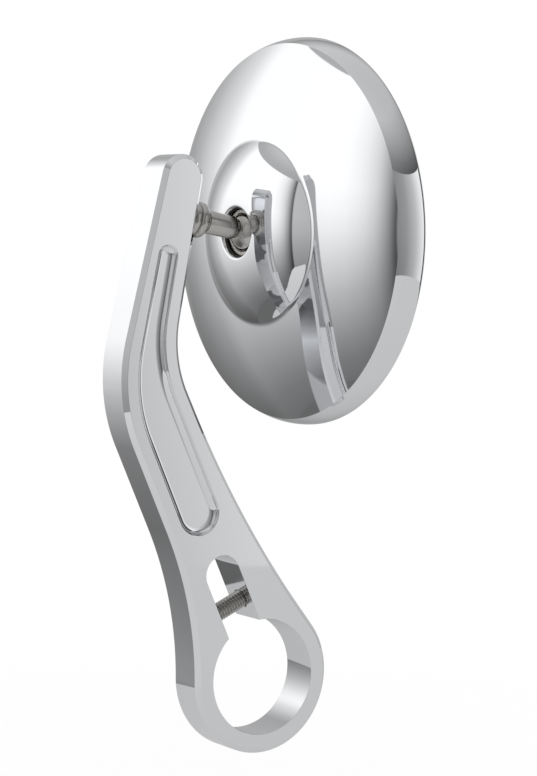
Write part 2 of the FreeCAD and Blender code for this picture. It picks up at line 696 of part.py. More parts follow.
spring_radius = work_out("spring_radius", "Worked.cup_radius - Sizes.thrust_washer_margin")
spring_middle = work_out("spring_middle", "Worked.spring_start + Sizes.spring_height")
first_spring = new_body("disc_spring_rear")
add_turned(first_spring, [
    (spring_start, "Sizes.spring_hole"),
    (spring_start + " + Sizes.spring_thickness", "Sizes.spring_hole"),
    (spring_middle, spring_radius),
    (spring_middle + " - Sizes.spring_thickness", spring_radius),
], "rear_spring_turning")
place_in_head(first_spring)

second_spring = new_body("disc_spring_front")
add_turned(second_spring, [
    (boss_end + " - Sizes.spring_thickness", "Sizes.spring_hole"),
    (boss_end, "Sizes.spring_hole"),
    (spring_middle + " + Sizes.spring_thickness", spring_radius),
    (spring_middle, spring_radius),
], "front_spring_turning")
place_in_head(second_spring)


# Housing: hub, shell and rim turned in one piece, with three tapped holes in its boss

def repeat_round(body, feature, sketch):
    """Repeat a feature round the head's axis, once for each retainer screw."""
    pattern = body.newObject("PartDesign::PolarPattern", feature.Name + "_pattern")
    pattern.Originals = [feature]
    pattern.Axis = (sketch, ["N_Axis"])
    pattern.Angle = 360
    pattern.setExpression("Occurrences", "Sizes.retainer_screw_count")
    body.Tip = pattern
    return pattern


def drill_round(body, name, start, depth, radius):
    """Drill the ring of screw holes from a plane across the head's axis, towards the hub."""
    holes = new_sketch(body, "YZ_Plane", name + "_outline", z=start)
    holes.addGeometry(Part.Circle(Vector(number(screw_circle), 0, 0), Vector(0, 0, 1), number(radius)))
    bind(holes, "DistanceX", -1, 1, 0, 3, formula=screw_circle)
    holes.addConstraint(Sketcher.Constraint("PointOnObject", 0, 3, -1))
    bind(holes, "Radius", 0, formula=radius)
    doc.recompute()
    volume = body.Shape.Volume
    hole = body.newObject("PartDesign::Pocket", name)
    hole.Profile = holes
    hole.setExpression("Length", depth)
    must_shrink(body, volume, name)
    volume = body.Shape.Volume
    repeat_round(body, hole, holes)
    must_shrink(body, volume, name + " pattern")


housing = new_body("housing_shell")
cavity_edge = work_out(
    "cavity_edge",
    "Worked.shell_centre"
    " - sqrt(Worked.shell_inner_curve ^ 2 - (Worked.cavity_radius - Worked.shell_centre_radius) ^ 2)")
cavity_foot = work_out(
    "cavity_foot",
    "Worked.shell_centre"
    " - sqrt(Worked.shell_inner_curve ^ 2 - (Worked.boss_radius - Worked.shell_centre_radius) ^ 2)")
add_turned(housing, [
    ("Worked.lip + Sizes.lip_round", mouth_radius, "-Sizes.lip_round"),
    (lip, "Worked.mouth_radius + Sizes.lip_round"),
    (lip, lip_radius, "-Sizes.dome_radius"),
    (dome_end, dome_end_radius, "Sizes.hub_fillet"),
    (shell_start, shell_start_radius, "-Worked.shell_radius"),
    (crease, crease_radius, "-Sizes.band_radius"),
    (band_end, "Sizes.head_radius", "-Sizes.rim_roll"),
    (rim_front, "Sizes.head_radius - Sizes.rim_roll"),
    (rim_front, rim_inside),
    (ledge, rim_inside),
    (ledge, cavity_radius),
    (cavity_edge, cavity_radius, "Worked.shell_inner_curve"),
    (cavity_foot, boss_radius),
    (boss_end, boss_radius),
    (boss_end, hub_bore),
    (shoulder, hub_bore),
    (shoulder, dust_radius),
    (lip_inside, dust_radius),
    (lip_inside, mouth_radius),
], "housing_turning")
drill_round(
    housing, "tapped_hole", boss_end,
    "Sizes.retainer_screw_length - Sizes.retainer_thickness + Sizes.retainer_screw_tip_gap",
    "Sizes.retainer_screw_radius + Sizes.thread_gap")
place_in_head(housing)

dust_ring = new_body("dust_ring")
add_turned(dust_ring, [
    (lip_inside, "Worked.dust_radius - Sizes.dust_ring_width"),
    (lip_inside, dust_radius),
    (lip_inside + " + Sizes.dust_ring_height", dust_radius),
    (lip_inside + " + Sizes.dust_ring_height", "Worked.dust_radius - Sizes.dust_ring_width"),
], "dust_ring_turning")
place_in_head(dust_ring)


# Retaining plate and its screws

retainer = new_body("retaining_plate")
add_turned(retainer, [
    (boss_end, "Sizes.retainer_hole"),
    (boss_end, "Worked.boss_radius - Sizes.retainer_margin"),
    (retainer_end, "Worked.boss_radius - Sizes.retainer_margin"),
    (retainer_end, "Sizes.retainer_hole"),
], "retainer_turning")
drill_round(
    retainer, "clearance_hole", retainer_end, "2 * Sizes.retainer_thickness",
    "Sizes.retainer_screw_radius + Sizes.retainer_screw_gap")
place_in_head(retainer)

retainer_screws = new_body("retainer_screws")
retainer_screws.AllowCompound = True
retainer_tip = work_out("retainer_tip", "Worked.retainer_end - Sizes.retainer_screw_length")
screw_blank = add_turned(retainer_screws, [
    (retainer_tip, "0"),
    (retainer_tip, "Sizes.retainer_screw_radius"),
    (retainer_end, "Sizes.retainer_screw_radius"),
    (retainer_end, "Sizes.retainer_screw_head_radius"),
    (retainer_end + " + Sizes.retainer_screw_head_height", "Sizes.retainer_screw_head_radius"),
    (retainer_end + " + Sizes.retainer_screw_head_height", "0"),
], "retainer_screw", y=screw_circle)
doc.recompute()
volume = retainer_screws.Shape.Volume
screw_axis = new_sketch(retainer_screws, "YZ_Plane", "head_axis")
repeat_round(retainer_screws, screw_blank, screw_axis)
doc.recompute()
if retainer_screws.Shape.Volume < 1.5 * volume:
    raise RuntimeError("The retainer screws are not repeated")
place_in_head(retainer_screws)


# Mirror stack: backing plate, foam pad, glass and edge seal

backing = new_body("backing_plate")
add_turned(backing, [
    (ledge, "0"),
    (ledge, "Worked.rim_inside - Sizes.backing_gap"),
    (backing_end, "Worked.rim_inside - Sizes.backing_gap"),
    (backing_end, "0"),
], "backing_turning")
place_in_head(backing)

pad = new_body("foam_pad")
pad_radius = work_out("pad_radius", "Worked.glass_radius - Sizes.pad_margin")
add_turned(pad, [
    (backing_end, "0"),
    (backing_end, pad_radius),
    ("Worked.glass_centre + sqrt(Worked.glass_inner_curve ^ 2 - Worked.pad_radius ^ 2)", pad_radius,
     "-Worked.glass_inner_curve"),
    (glass_back, "0"),
], "pad_turning")
place_in_head(pad)

glass = new_body("mirror_glass")
add_turned(glass, [
    (glass_back, "0", "Worked.glass_inner_curve"),
    ("Worked.glass_centre + sqrt(Worked.glass_inner_curve ^ 2 - Worked.glass_radius ^ 2)", glass_radius),
    ("Worked.glass_centre + sqrt(Sizes.glass_curve ^ 2 - Worked.glass_radius ^ 2)", glass_radius,
     "-Sizes.glass_curve"),
    (glass_front, "0"),
], "glass_turning")
place_in_head(glass)

seal = new_body("edge_seal")
add_turned(seal, [
    (backing_end, "Worked.rim_inside - Sizes.seal_width"),
    (backing_end, rim_inside),
    ("Worked.rim_front - Sizes.seal_recess", rim_inside),
    ("Worked.rim_front - Sizes.seal_recess", "Worked.rim_inside - Sizes.seal_width"),
], "seal_turning")
place_in_head(seal)


# Check every object and write one file for each piece

doc.recompute()
for item in doc.Objects:
    if "Invalid" in item.State or "Error" in item.State:
        raise RuntimeError("%s failed: %s" % (item.Name, item.State))

pieces = [
    arm, clamp_screw, lock_washer, stud, stud_washer, liner, seat, cup, thrust,
    first_spring, second_spring, housing, dust_ring, retainer, retainer_screws,
    backing, pad, glass, seal,
]
os.makedirs("parts", exist_ok=True)
for piece in pieces:
    if piece.Shape.isNull() or not piece.Shape.isValid():
        raise RuntimeError(piece.Label + " has no valid shape")
    expected = int(sizes["retainer_screw_count"]) if piece is retainer_screws else 1
    if len(piece.Shape.Solids) != expected:
        raise RuntimeError(piece.Label + " has the wrong number of solids")
    print("%-18s %10.1f mm3" % (piece.Label, piece.Shape.Volume))
    piece.Shape.exportStep("parts/%s.step" % piece.Label)
print("ball centre %.3f %.3f" % (number(ball_x), number(ball_z)))
print("shell radius %.2f, crease at %.2f, radius %.2f" % (
    number(shell_radius), number(crease), number(crease_radius)))
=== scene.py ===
# %% [markdown]
# # A chromed bar end mirror
# The part has a flat polished arm that clamps on a handlebar, a turned ball stud, and a domed round head
# that hides the ball joint and holds the glass. The imported model gives every piece its true size and place.
# This script dresses those pieces: finer meshes where polished metal would show facets, a real screw thread,
# and a finish for every surface. We load the model first and count its pieces.

# %% Load the frame
from math import acos, asin, atan2, ceil, cos, degrees, hypot, pi, radians, sin, sqrt, tan

import bmesh
import bpy
from mathutils import Matrix, Vector
from mathutils.geometry import tessellate_polygon


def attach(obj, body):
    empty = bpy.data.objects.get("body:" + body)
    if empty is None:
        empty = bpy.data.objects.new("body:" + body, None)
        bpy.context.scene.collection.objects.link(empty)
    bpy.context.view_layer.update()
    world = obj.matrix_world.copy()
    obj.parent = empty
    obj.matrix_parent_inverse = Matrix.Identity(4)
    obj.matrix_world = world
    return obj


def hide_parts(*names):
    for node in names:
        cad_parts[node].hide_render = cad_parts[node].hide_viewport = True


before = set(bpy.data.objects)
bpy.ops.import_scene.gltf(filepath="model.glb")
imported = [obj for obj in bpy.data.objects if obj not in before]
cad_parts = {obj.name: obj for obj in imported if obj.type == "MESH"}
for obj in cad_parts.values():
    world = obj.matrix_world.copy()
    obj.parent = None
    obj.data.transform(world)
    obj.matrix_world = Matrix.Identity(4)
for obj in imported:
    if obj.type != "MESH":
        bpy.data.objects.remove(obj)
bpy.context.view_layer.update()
scene = bpy.context.scene
MM = 0.001
print("pieces from the model:", len(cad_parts))

# %% [markdown]
# ## The sizes we need again
# A finer mesh has to be exactly as large as the solid that it stands for. The model file holds only
# triangles, so the sizes that several pieces share are written once more here, in millimetres. Those of a
# single piece come with it.

# %% Sizes of the visible pieces
bore_radius, ring_radius = 12.7, 16.85
half_plate, front_chamfer, back_chamfer, edge_round = 4.75, 1.0, 0.6, 0.12
slot_lean, half_slot, slot_reach = radians(23.6), 4.25, 25.4
screw_reach = 16.6
stem_x, stem_z, stem_droop = -16.145, 99.948, radians(11.1)
stem_reach, ball_radius = 16.93, 5.0
head_pan = radians(1.92)
ball_x = stem_x + stem_reach * cos(stem_droop)
ball_z = stem_z - stem_reach * sin(stem_droop)
print("ball centre", round(ball_x, 3), round(ball_z, 3))

# %% [markdown]
# ## Colours and nodes
# Colours are written as the hex values that a picture editor shows. Shaders work with linear light,
# so one function converts them. The others add a node with its settings and links in one go, a step of
# arithmetic, or a new material.

# %% Helpers for colours and nodes
def linear(hex_code):
    """A hex colour as the linear RGBA that shaders use."""
    parts = [int(hex_code[i:i + 2], 16) / 255 for i in (1, 3, 5)]
    return tuple(c / 12.92 if c <= 0.04045 else ((c + 0.055) / 1.055) ** 2.4 for c in parts) + (1.0,)


def feed(node, inputs):
    """Set a node's inputs. A value is a number, a colour or the output socket that feeds the input."""
    for name, value in inputs.items():
        if isinstance(value, bpy.types.NodeSocket):
            node.id_data.links.new(value, node.inputs[name])
        else:
            node.inputs[name].default_value = value


def add_node(tree, kind, settings=None, inputs=None):
    """Add one node with its settings and its inputs."""
    node = tree.nodes.new(kind)
    for name, value in (settings or {}).items():
        setattr(node, name, value)
    feed(node, inputs or {})
    return node


def arithmetic(tree):
    """A function that adds one step of arithmetic to a tree and returns the result's socket."""
    def work(operation, *values):
        step = add_node(tree, "ShaderNodeMath", {"operation": operation}, dict(enumerate(values)))
        return step.outputs["Value"]

    return work


def empty_material(name):
    """A material whose node tree is still empty."""
    material = bpy.data.materials.new(name)
    material.use_nodes = True
    material.node_tree.nodes.clear()
    return material, material.node_tree


def new_material(name):
    """A material with nothing but its principled shader."""
    material, tree = empty_material(name)
    shader = add_node(tree, "ShaderNodeBsdfPrincipled")
    add_node(tree, "ShaderNodeOutputMaterial", inputs={"Surface": shader.outputs["BSDF"]})
    return material, tree, shader


# %% [markdown]
# ## Patterns for the finishes
# No real surface is perfectly even. All the finishes below are built from the same few steps: a soft noise
# that is fixed to the piece, a tint between two colours, a range of roughness and a shallow relief.

# %% Pattern helpers
def point_on_piece(tree, scale=1.0):
    """The point on the piece, in its own frame, stretched so that a pattern gets its real size."""
    place = add_node(tree, "ShaderNodeTexCoord")
    return add_node(tree, "ShaderNodeMapping", inputs={
        "Vector": place.outputs["Object"], "Scale": (scale, scale, scale)}).outputs["Vector"]


def noise(tree, point, scale, detail):
    """A soft noise from 0 to 1 at a point."""
    return add_node(tree, "ShaderNodeTexNoise", inputs={
        "Vector": point, "Scale": scale, "Detail": detail}).outputs["Fac"]


def tinted(tree, factor, first, second):
    """A colour between two hex colours."""
    return add_node(tree, "ShaderNodeMix", {"data_type": "RGBA"}, {
        "Factor": factor, "A": linear(first), "B": linear(second)}).outputs["Result"]


def spread(tree, factor, low, high):
    """A value from 0 to 1, spread over the range from low to high."""
    return add_node(tree, "ShaderNodeMapRange", inputs={
        "Value": factor, "To Min": low, "To Max": high}).outputs["Result"]


def relief(tree, height, strength, distance):
    """The surface direction of a shallow relief."""
    return add_node(tree, "ShaderNodeBump", inputs={
        "Height": height, "Strength": strength, "Distance": distance}).outputs["Normal"]


# %% [markdown]
# ## Polished chrome
# Chromium is plated over a surface that was buffed on a wheel. To the eye it is a clean mirror, a little
# darker than silver, with a faint unevenness left by the buffing. Its look comes nearly all from what it
# reflects, so we keep the roughness very low and let a soft noise vary it by a hair.

# %% Chrome
def polished_chrome():
    material, tree, shader = new_material("polished_chrome_plate")
    point = point_on_piece(tree)
    haze = spread(tree, noise(tree, point, 90.0, 3.0), 0.022, 0.05)
    ripple = relief(tree, noise(tree, point, 60.0, 1.0), 0.006, 0.001)
    feed(shader, {"Base Color": linear("#EDEEF0"), "Metallic": 1.0, "Roughness": haze, "Normal": ripple})
    return material


chrome = polished_chrome()
print("made", chrome.name)

# %% [markdown]
# ## Turned steel and brass
# The stud comes off a lathe. The tool leaves fine rings round its axis, which spread a highlight into a
# soft band across the shaft. The rings are finer than a pixel, so we draw them coarser than they are,
# about 0.12 mm apart, as bands along the stud's own axis. The screw, the washers, the springs and the
# brass rings get the same bands along their own axes, with their own colours.

# %% Turned metals
def turned_metal(name, hex_codes, axis, ring_gap, roughness):
    """Metal with lathe rings round an axis. The gap between the rings is in millimetres."""
    material, tree, shader = new_material(name)
    point = add_node(tree, "ShaderNodeTexCoord").outputs["Object"]
    along = add_node(tree, "ShaderNodeVectorMath", {"operation": "DOT_PRODUCT"}, {0: point, 1: axis})
    ring = arithmetic(tree)("MULTIPLY", along.outputs["Value"], 1.0 / (ring_gap * MM))
    rings = add_node(tree, "ShaderNodeTexNoise", {"noise_dimensions": "1D"}, {
        "W": ring, "Scale": 1.0, "Detail": 2.0}).outputs["Fac"]
    sheen = spread(tree, noise(tree, point, 400.0, 2.0), roughness - 0.05, roughness + 0.07)
    feed(shader, {"Base Color": tinted(tree, rings, *hex_codes), "Metallic": 1.0,
                  "Roughness": sheen, "Normal": relief(tree, rings, 0.25, 0.00004)})
    return material


stem_axis = (cos(stem_droop), 0.0, -sin(stem_droop))
screw_axis = (cos(slot_lean), 0.0, sin(slot_lean))
head_axis = (cos(head_pan), sin(head_pan), 0.0)
stud_steel = turned_metal("turned_stainless_stud", ("#A9A7A3", "#D6D4D1"), stem_axis, 0.12, 0.17)
screw_steel = turned_metal("rolled_stainless_screw", ("#A19F9C", "#CBC9C6"), screw_axis, 0.35, 0.26)
washer_steel = turned_metal("turned_stainless_washer", ("#8C8780", "#B8B3AC"), head_axis, 0.2, 0.3)
spring_steel = turned_metal("blued_spring_steel", ("#3B3A3A", "#565452"), head_axis, 0.3, 0.35)
brass = turned_metal("turned_brass", ("#A8894E", "#C9AA69"), head_axis, 0.15, 0.25)
print("made", stud_steel.name, screw_steel.name, washer_steel.name)

# %% [markdown]
# ## Rubber, plastic and glass
# The seals are moulded rubber: dark, dull and very slightly grained. The liner and the backing plate are
# moulded plastic. The glass is silvered behind, so it is a mirror under a thin clear layer.

# %% Moulded and glass materials
def moulded(name, hex_codes, roughness, grain_mm, depth):
    """A moulded surface with a fine grain of a given size in millimetres."""
    material, tree, shader = new_material(name)
    grain = noise(tree, point_on_piece(tree, 1.0 / (grain_mm * MM)), 1.0, 2.0)
    feed(shader, {"Base Color": tinted(tree, grain, *hex_codes),
                  "Roughness": spread(tree, grain, roughness - 0.06, roughness + 0.06),
                  "Normal": relief(tree, grain, depth, 0.00005)})
    return material


def silvered_glass():
    material, tree, shader = new_material("silvered_mirror_glass")
    film = noise(tree, point_on_piece(tree), 25.0, 2.0)
    feed(shader, {"Base Color": tinted(tree, film, "#E4E9EA", "#EDF1F1"), "Metallic": 1.0, "Roughness": 0.0,
                  "Coat Weight": 1.0, "Coat Roughness": 0.0})
    return material


black_rubber = moulded("moulded_black_rubber", ("#151516", "#222224"), 0.62, 0.4, 0.5)
black_foam = moulded("black_foam_tape", ("#1A1A1B", "#2A2A2C"), 0.85, 0.5, 0.8)
black_plastic = moulded("moulded_black_plastic", ("#1B1B1D", "#262629"), 0.5, 0.6, 0.4)
acetal = moulded("turned_acetal_liner", ("#DAD7CF", "#E6E3DC"), 0.45, 0.6, 0.2)
mirror = silvered_glass()
print("made", black_rubber.name, mirror.name)

# %% [markdown]
# ## Outlines from lines and arcs
# Every form here is drawn with straight lines and arcs, as a machinist would. Two helpers turn such
# drawings into points: one rounds the corners of a path, the other wraps a belt round a row of bends and
# also says which way is outwards at each point, so that we can step in from the edge by an exact distance.

# %% Drawing helpers
def arc(centre, radius, start, end, step=2.0):
    """Points on an arc, with angles in degrees."""
    count = max(2, ceil(abs(end - start) / step))
    angles = [radians(start + (end - start) * i / count) for i in range(count + 1)]
    return [(centre[0] + radius * cos(a), centre[1] + radius * sin(a)) for a in angles]


def rounded(corners, radius, steps=4):
    """An open path with its inner corners rounded by one radius."""
    path = [corners[0]]
    for before, corner, after in zip(corners, corners[1:], corners[2:]):
        corner = Vector(corner)
        into, away = Vector(before) - corner, Vector(after) - corner
        half = into.angle(away) / 2
        reach = min(radius / tan(half), 0.45 * into.length, 0.45 * away.length)
        into, away = into.normalized(), away.normalized()
        first, last = corner + into * reach, corner + away * reach
        middle = corner + (into + away).normalized() * (reach / cos(half))
        start = atan2(*(first - middle).yx)
        turn = (atan2(*(last - middle).yx) - start + pi) % (2 * pi) - pi
        size = (first - middle).length
        for i in range(steps + 1):
            angle = start + turn * i / steps
            path.append((middle.x + size * cos(angle), middle.y + size * sin(angle)))
    return path + [corners[-1]]


def belt(bends, step=1.2):
    """Points and outward directions of a belt round anticlockwise bends (x, z, radius), or hollow ones."""
    longest_side, end_gap, shortest_run = 1.5, 0.3, 1.0
    leave, arrive, headings = [], [], []
    for (x, z, radius), (next_x, next_z, next_radius) in zip(bends, bends[1:] + bends[:1]):
        distance = hypot(next_x - x, next_z - z)
        heading = atan2(next_z - z, next_x - x) + asin((radius - next_radius) / distance)
        side = (sin(heading), -cos(heading))
        leave.append((x + radius * side[0], z + radius * side[1]))
        arrive.append((next_x + next_radius * side[0], next_z + next_radius * side[1]))
        headings.append(degrees(heading))
    points = []
    for i, (x, z, radius) in enumerate(bends):
        start, end = headings[i - 1] - 90, headings[i] - 90
        turn = (end - start + 180) % 360 - 180
        if radius > 0 and turn < 0:
            turn += 360
        length = radians(abs(turn)) * abs(radius)
        count = max(3, ceil(abs(turn) / step), ceil(length / longest_side))
        for k in range(count + 1):
            angle = radians(start + turn * k / count)
            out = (cos(angle), sin(angle))
            points.append(((x + radius * out[0], z + radius * out[1]), out))
        run = Vector(arrive[i]) - Vector(leave[i])
        out = (sin(radians(headings[i])), -cos(radians(headings[i])))
        for share in (end_gap / run.length, 1 - end_gap / run.length):
            if run.length > shortest_run:
                points.append((tuple(Vector(leave[i]) + run * share), out))
    return points


# %% [markdown]
# ## Making a piece
# A finished piece is a plain mesh that sits at the origin. It rides on the body that carries it, and the
# solid that it stands for is hidden. Edges sharper than 25 degrees stay sharp and the rest is shaded smooth.

# %% Piece helpers
def add_object(name, data):
    """Put a new object in the scene."""
    item = bpy.data.objects.new(name, data)
    scene.collection.objects.link(item)
    return item


doubles = 2e-6


def tidy_mesh(mesh, sharp=25.0):
    """Merge doubles, point the faces outwards and shade the mesh."""
    work = bmesh.new()
    work.from_mesh(mesh)
    bmesh.ops.remove_doubles(work, verts=work.verts, dist=doubles)
    bmesh.ops.recalc_face_normals(work, faces=work.faces)
    work.to_mesh(mesh)
    work.free()
    mesh.shade_smooth()
    mesh.set_sharp_from_angle(angle=radians(sharp))


def large_faces_lead(mesh, sharp=25.0):
    """Let large flats set the shading of the points that they share with narrow roundings.

    Otherwise the roundings would bend the shading of the flats, and a mirror shows that at once.
    """
    limit = cos(radians(sharp))
    flats, around = {}, [[] for _ in mesh.vertices]
    for face in mesh.polygons:
        key = tuple(round(c, 3) + 0.0 for c in face.normal)
        flats[key] = flats.get(key, 0.0) + face.area
        for corner in face.vertices:
            around[corner].append((face.normal.copy(), key))
    normals = []
    for face in mesh.polygons:
        for corner in face.vertices:
            total = Vector((0.0, 0.0, 0.0))
            for normal, key in around[corner]:
                if face.normal.dot(normal) >= limit:
                    total += normal * flats[key] ** 2
            normals.append(total.normalized())
    mesh.normals_split_custom_set(normals)
    return mesh


def finish_piece(name, mesh, material, body, slot, *nodes):
    """Put a finished mesh in the scene in place of CAD nodes."""
    mesh.name = name
    mesh.materials.clear()
    mesh.materials.append(material)
    piece = add_object(name, mesh)
    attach(piece, body)
    if nodes:
        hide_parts(*nodes)
    print(name, len(mesh.polygons), "faces")
    return piece


# %% [markdown]
# ## A lathe made of nodes
# Most pieces of the mirror are turned: one outline spun round an axis. Geometry Nodes can do that by rule.
# The tree takes the outline's points, lays out a grid with one row for each point and one column for each
# step round the axis, and moves each grid point to its place. We use this one lathe for every turned piece.

# %% What both node trees share
def new_tree(name, inputs, output):
    """A node tree with its sockets, what it is given, and a function that adds arithmetic to it."""
    tree = bpy.data.node_groups.new(name, "GeometryNodeTree")
    for socket, kind in inputs:
        tree.interface.new_socket(name=socket, in_out="INPUT", socket_type="NodeSocket" + kind)
    tree.interface.new_socket(name=output, in_out="OUTPUT", socket_type="NodeSocketGeometry")
    return tree, add_node(tree, "NodeGroupInput").outputs, arithmetic(tree)


def counted_grid(tree, work, sides, rows):
    """A grid whose points are counted down one column after another, and each point's column and row."""
    grid = add_node(tree, "GeometryNodeMeshGrid", inputs={
        "Vertices X": work("ADD", sides, 1.0), "Vertices Y": rows})
    index = add_node(tree, "GeometryNodeInputIndex").outputs["Index"]
    nudge = 0.00001
    column = work("FLOOR", work("ADD", work("DIVIDE", index, rows), nudge))
    return grid.outputs["Mesh"], column, work("SUBTRACT", index, work("MULTIPLY", column, rows))


def wrap_round(tree, work, grid, length, radius, share, finish):
    """Wrap a grid round the X axis, close its seam and hand it over with its finish."""
    angle = work("MULTIPLY", share, 2 * pi)
    place = add_node(tree, "ShaderNodeCombineXYZ", inputs={
        "X": length, "Y": work("MULTIPLY", radius, work("COSINE", angle)),
        "Z": work("MULTIPLY", radius, work("SINE", angle))})
    moved = add_node(tree, "GeometryNodeSetPosition", inputs={
        "Geometry": grid, "Position": place.outputs["Vector"]})
    closed = add_node(tree, "GeometryNodeMergeByDistance", inputs={
        "Geometry": moved.outputs["Geometry"], "Distance": doubles})
    real = add_node(tree, "GeometryNodeRealizeInstances", inputs={"Geometry": closed.outputs["Geometry"]})
    painted = add_node(tree, "GeometryNodeSetMaterial", inputs={
        "Geometry": real.outputs["Geometry"], "Material": finish})
    add_node(tree, "NodeGroupOutput", inputs={0: painted.outputs["Geometry"]})


# %% The lathe
def lathe_tree():
    tree, given, work = new_tree("lathe", [
        ("Outline", "Geometry"), ("Sides", "Int"), ("Finish", "Material")], "Turned")
    points = add_node(tree, "GeometryNodeAttributeDomainSize", inputs={"Geometry": given["Outline"]})
    grid, column, row = counted_grid(tree, work, given["Sides"], points.outputs["Point Count"])
    position = add_node(tree, "GeometryNodeInputPosition").outputs["Position"]
    sample = add_node(tree, "GeometryNodeSampleIndex", {"data_type": "FLOAT_VECTOR"}, {
        "Geometry": given["Outline"], "Value": position, "Index": row})
    outline = add_node(tree, "ShaderNodeSeparateXYZ", inputs={"Vector": sample.outputs["Value"]}).outputs
    share = work("DIVIDE", column, given["Sides"])
    wrap_round(tree, work, grid, outline["X"], outline["Y"], share, given["Finish"])
    return tree


lathe = lathe_tree()


def run_tree(tree, mesh, **values):
    """Run a node tree on a mesh and return the result as a plain mesh."""
    holder = add_object("holder", mesh)
    modifier = holder.modifiers.new("nodes", "NODES")
    modifier.node_group = tree
    for item in tree.interface.items_tree:
        if item.in_out == "INPUT" and item.name in values:
            modifier[item.identifier] = values[item.name]
    graph = bpy.context.evaluated_depsgraph_get()
    result = bpy.data.meshes.new_from_object(holder.evaluated_get(graph))
    holder.modifiers.remove(modifier)
    bpy.data.objects.remove(holder)
    return result


def turn(outline, place, finish, sides, closed=False, sharp=25.0):
    """Turn an outline of (length, radius) in millimetres and put the result in its place."""
    points = list(outline) + ([outline[0]] if closed else [])
    profile = bpy.data.meshes.new("outline")
    profile.from_pydata([(x * MM, r * MM, 0.0) for x, r in points],
                        [(i, i + 1) for i in range(len(points) - 1)], [])
    mesh = run_tree(lathe, profile, Sides=sides, Finish=finish)
    tidy_mesh(mesh, sharp)
    mesh.transform(place)
    return mesh


on_stem = Matrix.Translation((stem_x * MM, 0, stem_z * MM)) @ Matrix.Rotation(stem_droop, 4, "Y")
in_head = Matrix.Translation((ball_x * MM, 0, ball_z * MM)) @ Matrix.Rotation(head_pan, 4, "Z")
screw_x, screw_z = -screw_reach * sin(slot_lean), screw_reach * cos(slot_lean)
on_screw = Matrix.Translation((screw_x * MM, 0, screw_z * MM)) @ Matrix.Rotation(-slot_lean, 4, "Y")
print("lathe ready with", len(lathe.nodes), "nodes")

# %% [markdown]
# ## The arm
# The real arm is milled from a flat bar: its outline is cut, its edges are chamfered, the bore and slot are
# cut through, and a ball nose cutter sinks the recess. We follow the same order. The outline is a belt round
# six bends. Each ring of points that we need, such as the inner edge of the chamfer, is that belt moved
# inwards by an exact distance, which keeps the walls and chamfers even and the reflections clean.

# %% Outlines of the arm
tip_radius, tip_rise, outer_radius, elbow_z = 4.96, 7.56, 35.5, 65.75
left_hollow, left_hollow_z, right_hollow = 80.4, 1.0, 232.0
inner_radius, inner_drop = 25.4, 21.88
ring_straight, inner_straight = 5.75, 4.1
up = Vector((sin(stem_droop), cos(stem_droop)))
right = Vector((cos(stem_droop), -sin(stem_droop)))
stud_foot = Vector((stem_x, stem_z))
tip = stud_foot + tip_rise * up - tip_radius * right
inner_bend = stud_foot - inner_drop * up + inner_radius * right
# The waist's centre follows from its distances to the ring and to the inner bend, each with a short
# straight between them.
reach = hypot(ring_radius + right_hollow, ring_straight)
gap = hypot(right_hollow - inner_radius, inner_straight)
along = (reach ** 2 - gap ** 2 + inner_bend.length_squared) / (2 * inner_bend.length)
aside = sqrt(reach ** 2 - along ** 2)
waist = (along * inner_bend + aside * Vector((inner_bend.y, -inner_bend.x))) / inner_bend.length
# The left edge runs parallel to the slot, which sets how far the elbow lies from the ring.
elbow_run = left_hollow + outer_radius - (elbow_z - left_hollow_z) * sin(slot_lean)
elbow = Vector((elbow_run / cos(slot_lean) - ring_radius - left_hollow, elbow_z))
arm_outline = belt([
    (*tip, tip_radius), (*elbow, outer_radius), (-(ring_radius + left_hollow), left_hollow_z, -left_hollow),
    (0.0, 0.0, ring_radius), (*waist, -right_hollow), (*inner_bend, -inner_radius)])

recess_margin, recess_depth = 3.55, 1.45
recess_tip, recess_tip_drop, recess_end, slot_land = 2.3, 9.3, 4.9, 5.95
recess_top = stud_foot - recess_tip_drop * up - (recess_margin + recess_tip) * right
recess_reach = slot_reach + half_slot + slot_land + recess_end
recess_foot = Vector((-recess_reach * sin(slot_lean), recess_reach * cos(slot_lean)))
recess_outline = belt([
    (*recess_top, recess_tip), (*elbow, outer_radius - recess_margin), (*recess_foot, recess_end),
    (*inner_bend, -(inner_radius + recess_margin))], step=2.5)


def keyhole_outline():
    """Bore and slot as one outline, with the outward direction of the hole at each point."""
    foot = degrees(acos(half_slot / bore_radius))
    sweep = arc((0, 0), 1.0, foot, foot - 360 + 2 * (90 - foot), 1.5)
    points = [((bore_radius * x, bore_radius * z), (x, z)) for x, z in reversed(sweep)]
    end = arc((0, 0), 1.0, 0, 180, 3.0)
    points += [((half_slot * x, slot_reach + half_slot * z), (x, z)) for x, z in end]
    c, s = cos(slot_lean), sin(slot_lean)
    return [((x * c - z * s, x * s + z * c), (out_x * c - out_z * s, out_x * s + out_z * c))
            for (x, z), (out_x, out_z) in points]


keyhole = keyhole_outline()
print("points round the arm:", len(arm_outline), "recess:", len(recess_outline), "keyhole:", len(keyhole))

# %% [markdown]
# Each wall is a strip swept round its outline. Its section is a short path of steps inwards from the
# outline and heights through the plate, so a chamfer is only a slanting step, and the recess wall is the
# quarter round that the ball nose cutter leaves. The flat faces are filled between the rings with
# triangles, which is safe because they are perfectly flat.

# %% Mesh of the arm
def ring_of(outline, inwards, depth):
    """The outline moved inwards, at one depth through the plate."""
    return [((x - inwards * out_x) * MM, depth * MM, (z - inwards * out_z) * MM)
            for (x, z), (out_x, out_z) in outline]


def add_wall(vertices, faces, outline, section):
    """Sweep a section of (inwards, depth) steps round an outline, with quads between its rings."""
    start, count = len(vertices), len(outline)
    for inwards, depth in section:
        vertices.extend(ring_of(outline, inwards, depth))
    for level in range(len(section) - 1):
        base = start + level * count
        for i in range(count):
            j = (i + 1) % count
            faces.append((base + i, base + j, base + count + j, base + count + i))


